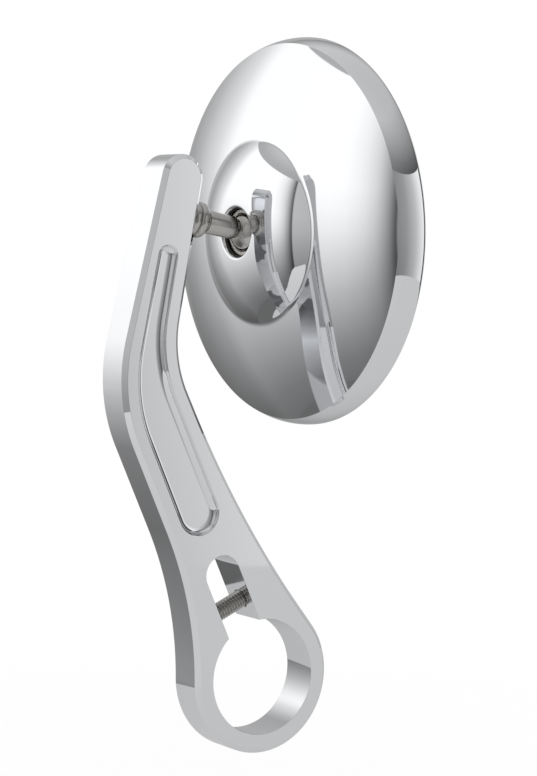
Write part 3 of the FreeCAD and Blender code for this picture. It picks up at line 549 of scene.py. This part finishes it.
def add_flat(vertices, faces, *edges):
    """Fill between an outer ring and the holes in it. Each is (outline, (inwards, depth))."""
    start = len(vertices)
    loops = [ring_of(outline, *step) for outline, step in edges]
    for loop in loops:
        vertices.extend(loop)
    for triangle in tessellate_polygon([[Vector((x, z, 0)) for x, y, z in loop] for loop in loops]):
        faces.append(tuple(start + i for i in triangle))


vertices, faces = [], []
front, back = -half_plate, half_plate
inside_edge = 2.0
wall = rounded([(inside_edge, front), (front_chamfer, front), (0.0, front + front_chamfer),
                (0.0, back - back_chamfer), (back_chamfer, back), (inside_edge, back)], edge_round)[1:-1]
add_wall(vertices, faces, arm_outline, wall)
hole_edge_round, recess_edge_round, cutter_radius = 0.08, 0.22, 1.7
hole_edge = rounded([(-1.0, front), (0.0, front), (0.0, 0.0)], hole_edge_round, 3)[1:]
hole_wall = hole_edge + [(step, -depth) for step, depth in reversed(hole_edge[:-1])]
add_wall(vertices, faces, keyhole, hole_wall)
cutter_height = cutter_radius - recess_depth
cutter_centre = sqrt(cutter_radius ** 2 - cutter_height ** 2)
first_slope = degrees(asin(cutter_height / cutter_radius))
slopes = [radians(first_slope + (90 - first_slope) * i / 16) for i in range(17)]
cut = [(cutter_centre - cutter_radius * cos(a), front - cutter_height + cutter_radius * sin(a))
       for a in slopes]
recess_edge = rounded([(-1.0, front), (0.0, front), cut[3]], recess_edge_round, 4)[1:-1] + cut[3:]
add_wall(vertices, faces, recess_outline, recess_edge)
add_flat(vertices, faces, (recess_outline, recess_edge[-1]))
add_flat(vertices, faces, (arm_outline, wall[0]), (keyhole, hole_wall[0]), (recess_outline, recess_edge[0]))
add_flat(vertices, faces, (arm_outline, wall[-1]), (keyhole, hole_wall[-1]))
arm_mesh = bpy.data.meshes.new("arm_blank")
arm_mesh.from_pydata(vertices, [], faces)
tidy_mesh(arm_mesh)
print("arm blank", len(arm_mesh.polygons), "faces")

# %% [markdown]
# The screw hole and the stud hole cross the plate from its sides, so they are drilled last, with a boolean:
# two turned cutters are taken out of the blank. The stepped cutter leaves the counterbore for the head.

# %% Drill the arm
def drilled(mesh, cutters):
    """Take turned cutters out of a mesh."""
    blank = add_object("blank", mesh)
    tools = [add_object("cutter", cutter) for cutter in cutters]
    for tool in tools:
        drill = blank.modifiers.new("drill", "BOOLEAN")
        drill.operation, drill.solver, drill.object = "DIFFERENCE", "EXACT", tool
    graph = bpy.context.evaluated_depsgraph_get()
    result = bpy.data.meshes.new_from_object(blank.evaluated_get(graph))
    for item in tools + [blank]:
        bpy.data.objects.remove(item)
    return result


tapped_radius, clearance_radius, counterbore_radius, counterbore_floor = 2.05, 2.15, 3.65, 7.6
stud_hole_radius = 2.55
screw_cutter = turn([
    (-10.2, 0), (-10.2, tapped_radius), (0, tapped_radius), (0, clearance_radius),
    (counterbore_floor, clearance_radius), (counterbore_floor, counterbore_radius),
    (33, counterbore_radius), (33, 0)], on_screw, chrome, 96)
stud_cutter = turn([(-8.0, 0), (-8.0, stud_hole_radius), (5.0, stud_hole_radius), (5.0, 0)],
                   on_stem, chrome, 64)
arm_mesh = drilled(arm_mesh, [screw_cutter, stud_cutter])
tidy_mesh(arm_mesh)
finish_piece("arm_polished", large_faces_lead(arm_mesh), chrome, "arm_body", "polished_chrome", "arm")

# %% [markdown]
# ## The head
# The housing is spun in one piece: a dome over the joint, a wide shallow shell, a sharp crease and a rolled
# rim. From the back its outline is four arcs. We compute where they meet, draw the inside as the solid has
# it, and hand the outline to the lathe with many sides, because polished metal shows every facet.

# %% Outline of the housing
def sloped(centre, radius, start, end, step, hollow=False):
    """Points (length, radius) on an arc, from one slope to another in degrees from the glass plane."""
    side = -1.0 if hollow else 1.0
    count = max(2, ceil(abs(end - start) / step))
    points = []
    for i in range(count + 1):
        slope = radians(start + (end - start) * i / count)
        points.append((centre[0] - side * radius * cos(slope),
                       centre[1] + side * radius * sin(slope)))
    return points


def centre_of(point, radius, slope, hollow=False):
    """The centre of the arc that passes through a point with a slope."""
    side = -1.0 if hollow else 1.0
    slope = radians(slope)
    return (point[0] + side * radius * cos(slope), point[1] - side * radius * sin(slope))


rim_front, head_radius = 14.4, 42.4
dome_radius, root_radius, band_radius, roll_radius, lip_radius = 25.6, 2.43, 10.4, 1.15, 0.6
dome_start, dome_end, shell_start, band_start = 5.0, 38.0, 10.0, 59.0
dome = sloped(centre_of((-4.5, 6.0), dome_radius, dome_start), dome_radius, dome_start, dome_end, 0.7)
root_centre = centre_of(dome[-1], root_radius, dome_end, True)
hub_root = sloped(root_centre, root_radius, dome_end, shell_start, 2.0, True)
band = sloped((rim_front - roll_radius, head_radius - band_radius), band_radius, band_start, 90.0, 1.5)
rise, run = band[0][0] - hub_root[-1][0], band[0][1] - hub_root[-1][1]
lift = rise * cos(radians(shell_start)) - run * sin(radians(shell_start))
shell_radius = (rise ** 2 + run ** 2) / (2 * lift)
shell_centre = centre_of(hub_root[-1], shell_radius, shell_start)
crease_slope = degrees(asin((band[0][1] - shell_centre[1]) / shell_radius))
shell = sloped(shell_centre, shell_radius, shell_start, crease_slope, 0.25)
roll = arc((rim_front - roll_radius, head_radius - roll_radius), roll_radius, 90, 0, 6)
lip = arc((-3.9, 5.95), lip_radius, -90, -180, 6)

shell_wall, pocket_radius, pocket_floor, cavity_radius, hub_radius = 1.9, 40.5, 10.0, 38.0, 15.5


def cavity(radius):
    """A point of the hollow behind the shell."""
    curve = shell_radius - shell_wall
    return (shell_centre[0] - sqrt(curve ** 2 - (radius - shell_centre[1]) ** 2), radius)


inside = [(rim_front, pocket_radius), (pocket_floor, pocket_radius), (pocket_floor, cavity_radius)]
inside += [cavity(cavity_radius - (cavity_radius - hub_radius) * i / 12) for i in range(13)]
inside += [(7.4, hub_radius), (7.4, 8.1), (-3.0, 8.1), (-3.0, 5.9), (-3.8, 5.9), (-3.8, 5.35)]
housing_outline = lip + dome[:-1] + hub_root[:-1] + shell[:-1] + band[:-1] + roll + inside
print("shell radius", round(shell_radius, 2), "crease slope", round(crease_slope, 2))

# %% [markdown]
# Three tapped holes for the retainer screws are drilled into the back of the hub. The crease is a blunt
# edge, so the housing keeps edges sharp from 20 degrees on.

# %% Turn the housing
housing_sharp, hole_circle = 20.0, 11.5
housing = turn(housing_outline, in_head, chrome, 320, closed=True, sharp=housing_sharp)
tapped = []
for i in range(3):
    on_hub = Matrix.Rotation(radians(120 * i), 4, "X") @ Matrix.Translation((0, hole_circle * MM, 0))
    tapped.append(turn([(2.3, 0), (2.3, 1.55), (8.0, 1.55), (8.0, 0)], in_head @ on_hub, chrome, 32))
housing = drilled(housing, tapped)
tidy_mesh(housing, housing_sharp)
finish_piece("head_housing", housing, chrome, "head_body", "polished_chrome", "housing_shell")

# %% [markdown]
# ## Stud, washers and seals
# The stud and the small rings between arm and head are plain turned pieces, so they go through the same
# lathe. Each outline has its small edge breaks, which catch the light as thin bright lines.

# %% Turned steel pieces
neck_radius = 2.1
neck_end = stem_reach - sqrt(ball_radius ** 2 - neck_radius ** 2)
neck_slope = degrees(asin(neck_radius / ball_radius))
stud_outline = [(-7.5, 0), (-7.5, 2.2), (-7.2, 2.5), (1.75, 2.5)]
stud_outline += arc((2.55, 3.05), 0.8, 180, 90, 9) + arc((2.75, 2.55), 1.3, 90, 0, 9)
stud_outline += rounded([(4.05, 2.55), (4.05, 2.2), (4.65, 2.2), (4.65, 2.5), (neck_end - 0.9, 2.5),
                         (neck_end - 0.5, neck_radius), (neck_end, neck_radius)], 0.12, 3)[1:-1]
stud_outline += arc((stem_reach, 0), ball_radius, 180 - neck_slope, 0, 2)
finish_piece("ball_stud_turned", turn(stud_outline, on_stem, stud_steel, 160), stud_steel,
             "arm_body", "stud_steel", "ball_stud")
washer_outline = [(0, 2.55), (0, 3.05)] + arc((0.8, 3.05), 0.8, 180, 90, 9)[1:]
washer_outline += arc((0.95, 3.05), 0.8, 90, 0, 9) + [(1.75, 2.55)]
finish_piece("stud_washer_turned", turn(washer_outline, on_stem, stud_steel, 160, closed=True), stud_steel,
             "arm_body", "stud_steel", "stud_washer")
dust_outline = [(-3.8, 5.3), (-3.8, 5.9), (-3.05, 5.9), (-3.05, 5.3)]
dust_outline += arc((-3.425, 5.375), 0.375, 270, 90, 15)
finish_piece("dust_ring_moulded", turn(dust_outline, in_head, black_rubber, 160, closed=True), black_rubber,
             "head_body", "black_rubber", "dust_ring")

# %% [markdown]
# ## Glass and its seal
# The glass is a shallow dome of 1400 mm radius, which widens what the rider sees. A soft seal fills the gap
# between its ground edge and the rim.

# %% Glass and seal
glass_front, glass_back, glass_radius, glass_curve, glass_bevel = 14.2, 12.2, 40.0, 1400.0, 0.3


def bulge(radius, middle):
    """The height of a face of the glass at a radius, from the height of its middle."""
    curve = glass_curve - (glass_front - middle)
    return glass_front - glass_curve + sqrt(curve ** 2 - radius ** 2)


steps = [glass_radius * i / 40 for i in range(41)]
glass_outline = [(bulge(r, glass_back), r) for r in steps]
glass_outline += [(bulge(glass_radius, glass_front) - glass_bevel, glass_radius)]
glass_outline += [(bulge(r, glass_front), r) for r in reversed(steps[:-1] + [glass_radius - glass_bevel])]
finish_piece("mirror_glass_silvered", turn(glass_outline, in_head, mirror, 256), mirror,
             "head_body", "mirror_coated_glass", "mirror_glass")
seal_outline = rounded([(11.3, 40.3), (11.3, 40.5), (14.1, 40.5), (14.1, 40.05), (11.3, 40.05),
                        (11.3, 40.3)], 0.12, 3)
finish_piece("edge_seal_moulded", turn(seal_outline, in_head, black_rubber, 256), black_rubber,
             "head_body", "black_rubber", "edge_seal")

# %% [markdown]
# ## The foam pad
# A disc of closed-cell foam, die-cut from a sheet with glue on both sides, holds the glass on its backing
# plate. Foam that is pressed between two plates swells a little at its rim, so the rim is drawn as a shallow
# curve instead of a straight wall, and the front follows the hollow back of the glass.

# %% Foam pad
pad_back, pad_radius, rim_swell = 11.3, 39.0, 0.22
pad_rim_front = bulge(pad_radius - rim_swell, glass_back)
pad_outline = [(bulge(r, glass_back), r) for r in (0.0, 8.0, 16.0, 24.0, 32.0, 37.0)]
pad_outline.append((pad_rim_front, pad_radius - rim_swell))
for share in (0.12, 0.3, 0.5, 0.7, 0.88):
    pad_outline.append((pad_rim_front + (pad_back - pad_rim_front) * share,
                        pad_radius - rim_swell * (1 - sin(pi * share))))
pad_outline += [(pad_back, pad_radius - rim_swell), (pad_back, 0.0)]
pad = finish_piece("foam_pad_pressed", turn(pad_outline, in_head, black_foam, 192), black_foam,
                   "head_body", "black_foam", "foam_pad")
print("foam pad rim", round(pad_rim_front - pad_back, 2), "mm thick")

# %% [markdown]
# ## The clamp screw
# The screw's rolled thread shows in the slot, so it is modelled. A thread is a cylinder whose radius falls
# and rises along its length, in step with the angle. The tree lays out a grid, computes each point's place
# along the screw and round it, and sinks the flanks with a wave that climbs one pitch in each turn.

# %% The thread
def thread_tree():
    tree, given, work = new_tree("rolled_thread", [
        ("Start", "Geometry"), ("Sides", "Int"), ("Rows", "Int"), ("Radius", "Float"), ("Pitch", "Float"),
        ("Depth", "Float"), ("Tip", "Float"), ("Length", "Float"), ("Finish", "Material")], "Thread")
    half_flat, flank_share = 0.14, 0.7
    grid, column, row = counted_grid(tree, work, given["Sides"], given["Rows"])
    inner_row = work("MAXIMUM", work("SUBTRACT", row, 1.0), 0.0)
    last_row = work("SUBTRACT", given["Rows"], 2.0)
    along = work("MULTIPLY", work("DIVIDE", inner_row, last_row), given["Length"])
    share = work("DIVIDE", column, given["Sides"])
    phase = work("FRACT", work("SUBTRACT", work("DIVIDE", along, given["Pitch"]), share))
    wave = work("ABSOLUTE", work("SUBTRACT", work("MULTIPLY", phase, 2.0), 1.0))
    flank = add_node(tree, "ShaderNodeClamp", inputs={
        "Value": work("DIVIDE", work("SUBTRACT", wave, half_flat), flank_share)}).outputs["Result"]
    radius = work("SUBTRACT", given["Radius"], work("MULTIPLY", flank, given["Depth"]))
    pointed = work("ADD", along, work("SUBTRACT", given["Radius"], given["Depth"]))
    radius = work("MULTIPLY", work("MINIMUM", radius, pointed), work("MINIMUM", row, 1.0))
    wrap_round(tree, work, grid, work("ADD", along, given["Tip"]), radius, share, given["Finish"])
    return tree


pitch, thread_length, thread_radius, thread_depth, thread_tip = 0.7, 18.0, 1.99, 0.4, -9.4
rows_per_turn, thread_sharp = 14, 32.0
thread = run_tree(thread_tree(), bpy.data.meshes.new("start"), Sides=72,
                  Rows=round(thread_length / pitch * rows_per_turn), Radius=thread_radius * MM,
                  Pitch=pitch * MM, Depth=thread_depth * MM, Tip=thread_tip * MM,
                  Length=thread_length * MM, Finish=screw_steel)
tidy_mesh(thread, thread_sharp)
thread.transform(on_screw)
print("thread", len(thread.polygons), "faces")

# %% [markdown]
# The head is turned and then gets its hexagon socket, again with a boolean. Head and thread are one piece.

# %% The screw head
head_outline = rounded([(8.6, 0), (8.6, 3.5), (11.4, 3.5), (11.4, 0)], 0.3, 4)
blank_head = turn(head_outline, on_screw, screw_steel, 96)
key_size = 2.5
corner = key_size / sqrt(3) * MM
hexagon = [(corner * cos(radians(60 * i)), corner * sin(radians(60 * i))) for i in range(6)]
sides = [(i, (i + 1) % 6, 6 + (i + 1) % 6, 6 + i) for i in range(6)]
socket = bpy.data.meshes.new("socket")
socket.from_pydata([(x * MM, y, z) for x in (9.8, 12.0) for y, z in hexagon], [],
                   [tuple(range(6)), tuple(range(6, 12))] + sides)
tidy_mesh(socket)
socket.transform(on_screw)
screw_head = drilled(blank_head, [socket])
joined = bmesh.new()
joined.from_mesh(thread)
joined.from_mesh(screw_head)
whole_screw = bpy.data.meshes.new("clamp_screw_whole")
joined.to_mesh(whole_screw)
joined.free()
tidy_mesh(whole_screw, thread_sharp)
finish_piece("clamp_screw_threaded", whole_screw, screw_steel, "arm_body", "screw_steel", "clamp_screw")

# %% [markdown]
# ## Pieces that keep their own mesh
# The inner pieces are seen only when the head is opened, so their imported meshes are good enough.
# Each still gets the finish of its own material.

# %% Finish the inner pieces
finishes = {
    "clamp_lock_washer": screw_steel, "ball_liner": acetal, "seat_ring": brass, "pressure_cup": brass,
    "thrust_washer": washer_steel, "disc_spring_rear": spring_steel, "disc_spring_front": spring_steel,
    "retaining_plate": washer_steel, "retainer_screws": washer_steel, "backing_plate": black_plastic}
for name, material in finishes.items():
    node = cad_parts[name]
    node.data.materials.clear()
    node.data.materials.append(material)
print("finished", len(finishes), "inner pieces")

# %% [markdown]
# ## The studio
# Chrome shows its surroundings, so the studio is part of the finish. A real one stands in a ring of cloth
# panels: a big white window behind it on the left, grey cloth elsewhere that gets darker towards the ground,
# and a grey card beside the camera. Over it is a roof, and just under the clamp a pale table, with paper that
# is darker in the shade of the head. Only reflections see all this, and the picture's background stays white.

# %% The world
white = linear("#FFFFFF")
world = bpy.data.worlds.new("white_studio")
scene.world = world
world.use_nodes = True
sky = world.node_tree
sky.nodes.clear()
rays = add_node(sky, "ShaderNodeLightPath").outputs
sky_work = arithmetic(sky)
seen = sky_work("MAXIMUM", sky_work("MAXIMUM", rays["Is Camera Ray"], rays["Is Glossy Ray"]),
                rays["Is Transmission Ray"])
soft = add_node(sky, "ShaderNodeBackground", inputs={"Color": white, "Strength": 0.75})
bright = add_node(sky, "ShaderNodeBackground", inputs={"Color": white, "Strength": 1.0})
shown = add_node(sky, "ShaderNodeMixShader", inputs={
    "Fac": seen, 1: soft.outputs["Background"], 2: bright.outputs["Background"]})
add_node(sky, "ShaderNodeOutputWorld", inputs={"Surface": shown.outputs["Shader"]})
print("world", world.name)

# %% [markdown]
# ## How bright the cloth is
# A cloth panel is lit unevenly, so each sheet gets its brightness from a few stops: by direction and height
# for the ring, and by distance for the roof and the table. Both are lighter towards the window.

# %% Brightness of the studio
CLOTH_RADIUS, CLOTH_FOOT, CLOTH_TOP = 300.0, -150.0, 350.0
# Stops of the panels: (azimuth in degrees from +X towards +Y, brightness). The ring is cut open at its seam.
SEAM_AZIMUTH, WINDOW_AZIMUTH = 30.0, radians(140.0)
BACK_PANELS = [(30, 0.0), (60, 0.0), (83, 0.36), (92, 0.46), (106, 0.72), (114, 0.98), (118, 1.0), (135, 1.0),
               (158, 1.03), (166, 1.0), (172, 0.91), (175, 0.84), (178, 0.74), (180, 0.67), (182, 0.55),
               (184, 0.43), (186, 0.3), (188, 0.14), (189.6, 0.05), (190, 0.28), (222, 0.24), (232, 0.06),
               (320, 0.05), (355, 0.0), (390, 0.0)]
FRONT_PANELS = [(30, 0.46), (60, 0.42), (83, 0.0), (189.6, 0.0), (190, 0.22), (222, 0.2), (232, 0.04),
                (253, 0.2), (270, 0.26), (290, 0.46), (300, 0.66), (306, 0.78), (318, 0.86), (320, 0.06),
                (352, 0.05), (358, 0.6), (390, 0.46)]
# Stops of the heights: (millimetres above the middle of the bore, share of the brightness).
BACK_HEIGHTS = [(-150, 0.17), (-104, 0.213), (-83, 0.254), (-60, 0.307), (-28, 0.4), (14, 0.545), (57, 0.75),
                (97, 0.965), (125, 1.08), (160, 1.17), (350, 1.17)]
FRONT_HEIGHTS = [(-150, 0.75), (-60, 0.88), (-23, 1.0), (87, 1.1), (350, 1.12)]
# Stops of roof and paper: (millimetres from the middle of the rings, brightness).
ROOF_HEIGHT, ROOF_RISE, ROOF_GAIN = 300.0, 50.0, 0.2
ROOF_RINGS = [(0, 0.6), (60, 0.62), (120, 0.64), (200, 0.44), (250, 0.33), (300, 0.28)]
PAPER_SHADE, PAPER_GAIN = (60.0, 150.0), 0.12
PAPER_RINGS = [(0, 0.3), (60, 0.38), (120, 0.53), (180, 0.61), (300, 0.63)]
GROUND_BRIGHTNESS = 0.15


def ramp_over(tree, value, stops, low, high):
    """The brightness at a value from 0 to 1, which stands for the range from low to high."""
    node = add_node(tree, "ShaderNodeValToRGB", inputs={"Fac": value})
    bands = node.color_ramp.elements
    while len(bands) < len(stops):
        bands.new(1.0)
    for band, (where, grey) in zip(bands, stops):
        band.position = (where - low) / (high - low)
        band.color = (grey, grey, grey, 1.0)
    return node.outputs["Color"]


def panels_by_height(tree, place, work, panels, heights):
    """The brightness of a row of panels at a point of the ring."""
    turned = work("DIVIDE", work("ARCTAN2", place["Y"], place["X"]), 2 * pi)
    around = work("FRACT", work("SUBTRACT", turned, SEAM_AZIMUTH / 360.0))
    height = work("DIVIDE", work("SUBTRACT", place["Z"], CLOTH_FOOT * MM), (CLOTH_TOP - CLOTH_FOOT) * MM)
    return work("MULTIPLY", ramp_over(tree, around, panels, SEAM_AZIMUTH, SEAM_AZIMUTH + 360),
                ramp_over(tree, height, heights, CLOTH_FOOT, CLOTH_TOP))


def rings_round(tree, place, work, middle, rings):
    """The brightness at a point's distance from the middle of the rings."""
    across = work("SUBTRACT", place["X"], middle[0] * MM)
    along = work("SUBTRACT", place["Y"], middle[1] * MM)
    square = work("ADD", work("MULTIPLY", across, across), work("MULTIPLY", along, along))
    distance = work("POWER", square, 0.5)
    return ramp_over(tree, work("DIVIDE", distance, CLOTH_RADIUS * MM), rings, 0.0, CLOTH_RADIUS)


def ring_cloth(tree, place, work):
    return work("ADD", panels_by_height(tree, place, work, BACK_PANELS, BACK_HEIGHTS),
                panels_by_height(tree, place, work, FRONT_PANELS, FRONT_HEIGHTS))


def roof_cloth(tree, place, work):
    to_window = work("ADD", work("MULTIPLY", place["X"], cos(WINDOW_AZIMUTH) / (CLOTH_RADIUS * MM)),
                     work("MULTIPLY", place["Y"], sin(WINDOW_AZIMUTH) / (CLOTH_RADIUS * MM)))
    return work("MULTIPLY_ADD", to_window, ROOF_GAIN, rings_round(tree, place, work, (0.0, 0.0), ROOF_RINGS))


def ground_cloth(tree, place, work):
    return GROUND_BRIGHTNESS


def table_paper(tree, place, work):
    paper = rings_round(tree, place, work, PAPER_SHADE, PAPER_RINGS)
    leftwards = work("MAXIMUM", work("DIVIDE", place["X"], -CLOTH_RADIUS * MM), 0.0)
    return work("MULTIPLY_ADD", leftwards, PAPER_GAIN, paper)


# %% [markdown]
# ## The tent
# The cloth is hung as plain sheets round the part: the ring, the roof, which rises towards the window, the
# dark ground and the table, whose back edge stays just below what the shell can see.

# %% The tent that the metal reflects
def stage_mesh(name, points, faces, material):
    """A stage object, with its points in millimetres."""
    mesh = bpy.data.meshes.new(name)
    mesh.from_pydata([tuple(c * MM for c in point) for point in points], [], faces)
    mesh.materials.append(material)
    item = add_object(name, mesh)
    return item


def reflected_sheet(name, points, brightness, faces=None):
    """A sheet that only reflections see. The brightness is a function that builds it in the sheet's tree."""
    material, tree = empty_material("studio_" + name)
    point = add_node(tree, "ShaderNodeTexCoord").outputs["Object"]
    place = add_node(tree, "ShaderNodeSeparateXYZ", inputs={"Vector": point}).outputs
    glow = add_node(tree, "ShaderNodeEmission", inputs={
        "Color": white, "Strength": brightness(tree, place, arithmetic(tree))})
    add_node(tree, "ShaderNodeOutputMaterial", inputs={"Surface": glow.outputs["Emission"]})
    item = stage_mesh(name, points, faces or [tuple(range(len(points)))], material)
    item.visible_camera = item.visible_diffuse = item.visible_shadow = False


posts, table_height = 180, -21
angles = [2 * pi * i / posts for i in range(posts)]
foot = [(CLOTH_RADIUS * cos(a), CLOTH_RADIUS * sin(a), CLOTH_FOOT) for a in angles]
top = [(x, y, ROOF_HEIGHT + ROOF_RISE * cos(a - WINDOW_AZIMUTH)) for (x, y, z), a in zip(foot, angles)]
table = [(-236, -400), (300, -400), (300, 192), (140, 180), (20, 105), (-19, 84), (-26, 66), (-52, 70),
         (-66, 60), (-98, 26), (-118, 18), (-138, 5), (-178, -10), (-215, -26), (-236, -42)]
reflected_sheet("cloth_ring", foot + top, ring_cloth, [
    (i, (i + 1) % posts, posts + (i + 1) % posts, posts + i) for i in range(posts)])
reflected_sheet("cloth_roof", top, roof_cloth)
reflected_sheet("dark_ground", foot, ground_cloth)
reflected_sheet("table_card", [(x, y, table_height) for x, y in table], table_paper)
print("tent with", posts, "posts")

# %% [markdown]
# ## The floor
# The part stands over a pale, dull paper floor that the camera sees. It fades to plain white further out,
# so that the picture has no horizon, and reflections see the tent instead of it.

# %% The floor
floor_material, tree, shader = new_material("pale_studio_floor")
point = add_node(tree, "ShaderNodeTexCoord").outputs["Object"]
grain = add_node(tree, "ShaderNodeTexNoise", inputs={"Vector": point, "Scale": 3.0}).outputs["Fac"]
feed(shader, {"Base Color": tinted(tree, grain, "#F6F6F6", "#F9F9F9"), "Roughness": 0.9})
distance = add_node(tree, "ShaderNodeVectorMath", {"operation": "LENGTH"}, {0: point})
plain = add_node(tree, "ShaderNodeMapRange", {"interpolation_type": "SMOOTHSTEP"}, {
    "Value": distance.outputs["Value"], "From Min": 0.1, "From Max": 0.45, "To Min": 0.75, "To Max": 1.0})
to_camera = add_node(tree, "ShaderNodeLightPath").outputs["Is Camera Ray"]
plain_white = add_node(tree, "ShaderNodeEmission", inputs={"Color": white, "Strength": 1.0})
faded = add_node(tree, "ShaderNodeMixShader", inputs={
    "Fac": arithmetic(tree)("MULTIPLY", to_camera, plain.outputs["Result"]),
    1: shader.outputs["BSDF"], 2: plain_white.outputs["Emission"]})
output = next(node for node in tree.nodes if node.type == "OUTPUT_MATERIAL")
feed(output, {"Surface": faded.outputs["Shader"]})
half_floor, floor_height = 3000, -60
floor = stage_mesh("studio_floor", [(half_floor * x, half_floor * y, floor_height)
                                    for x, y in ((-1, -1), (1, -1), (1, 1), (-1, 1))],
                   [(0, 1, 2, 3)], floor_material)
floor.visible_glossy = False
print("floor", floor.name)

# %% [markdown]
# ## The lamps
# Two large softboxes light the dull pieces and the floor evenly. Reflections don't see them.

# %% Lamps
def softbox(name, place, power):
    """A square lamp that is turned towards the middle of the part. Sizes are in metres."""
    lamp = bpy.data.lights.new(name, "AREA")
    lamp.shape, lamp.size, lamp.energy = "SQUARE", 0.8, power
    item = add_object(name, lamp)
    item.location = place
    towards = Vector((0, 0, 0.06)) - Vector(place)
    item.rotation_euler = towards.to_track_quat("-Z", "Y").to_euler()
    item.visible_glossy = False


softbox("key_softbox", (-0.5, -0.6, 0.9), 6.0)
softbox("fill_softbox", (0.8, -0.5, 0.5), 3.0)
print("studio ready")

# %% [markdown]
# ## The camera
# The photograph was taken with a long lens from the left and a little above. Its place and focal length were
# worked out from the clamp ring and the arm's edges, whose real sizes are known.

# %% Camera and close
camera_data = bpy.data.cameras.new("studio_camera")
camera_data.sensor_width = 36.0
camera_data.lens = 109.76
camera_data.clip_start = 0.01
camera = add_object("studio_camera", camera_data)
camera.location = (-0.2785, -0.4314, 0.1022)
camera.rotation_euler = (radians(85.62), 0.0, radians(-33.27))
scene.camera = camera
scene.view_settings.view_transform = "Standard"
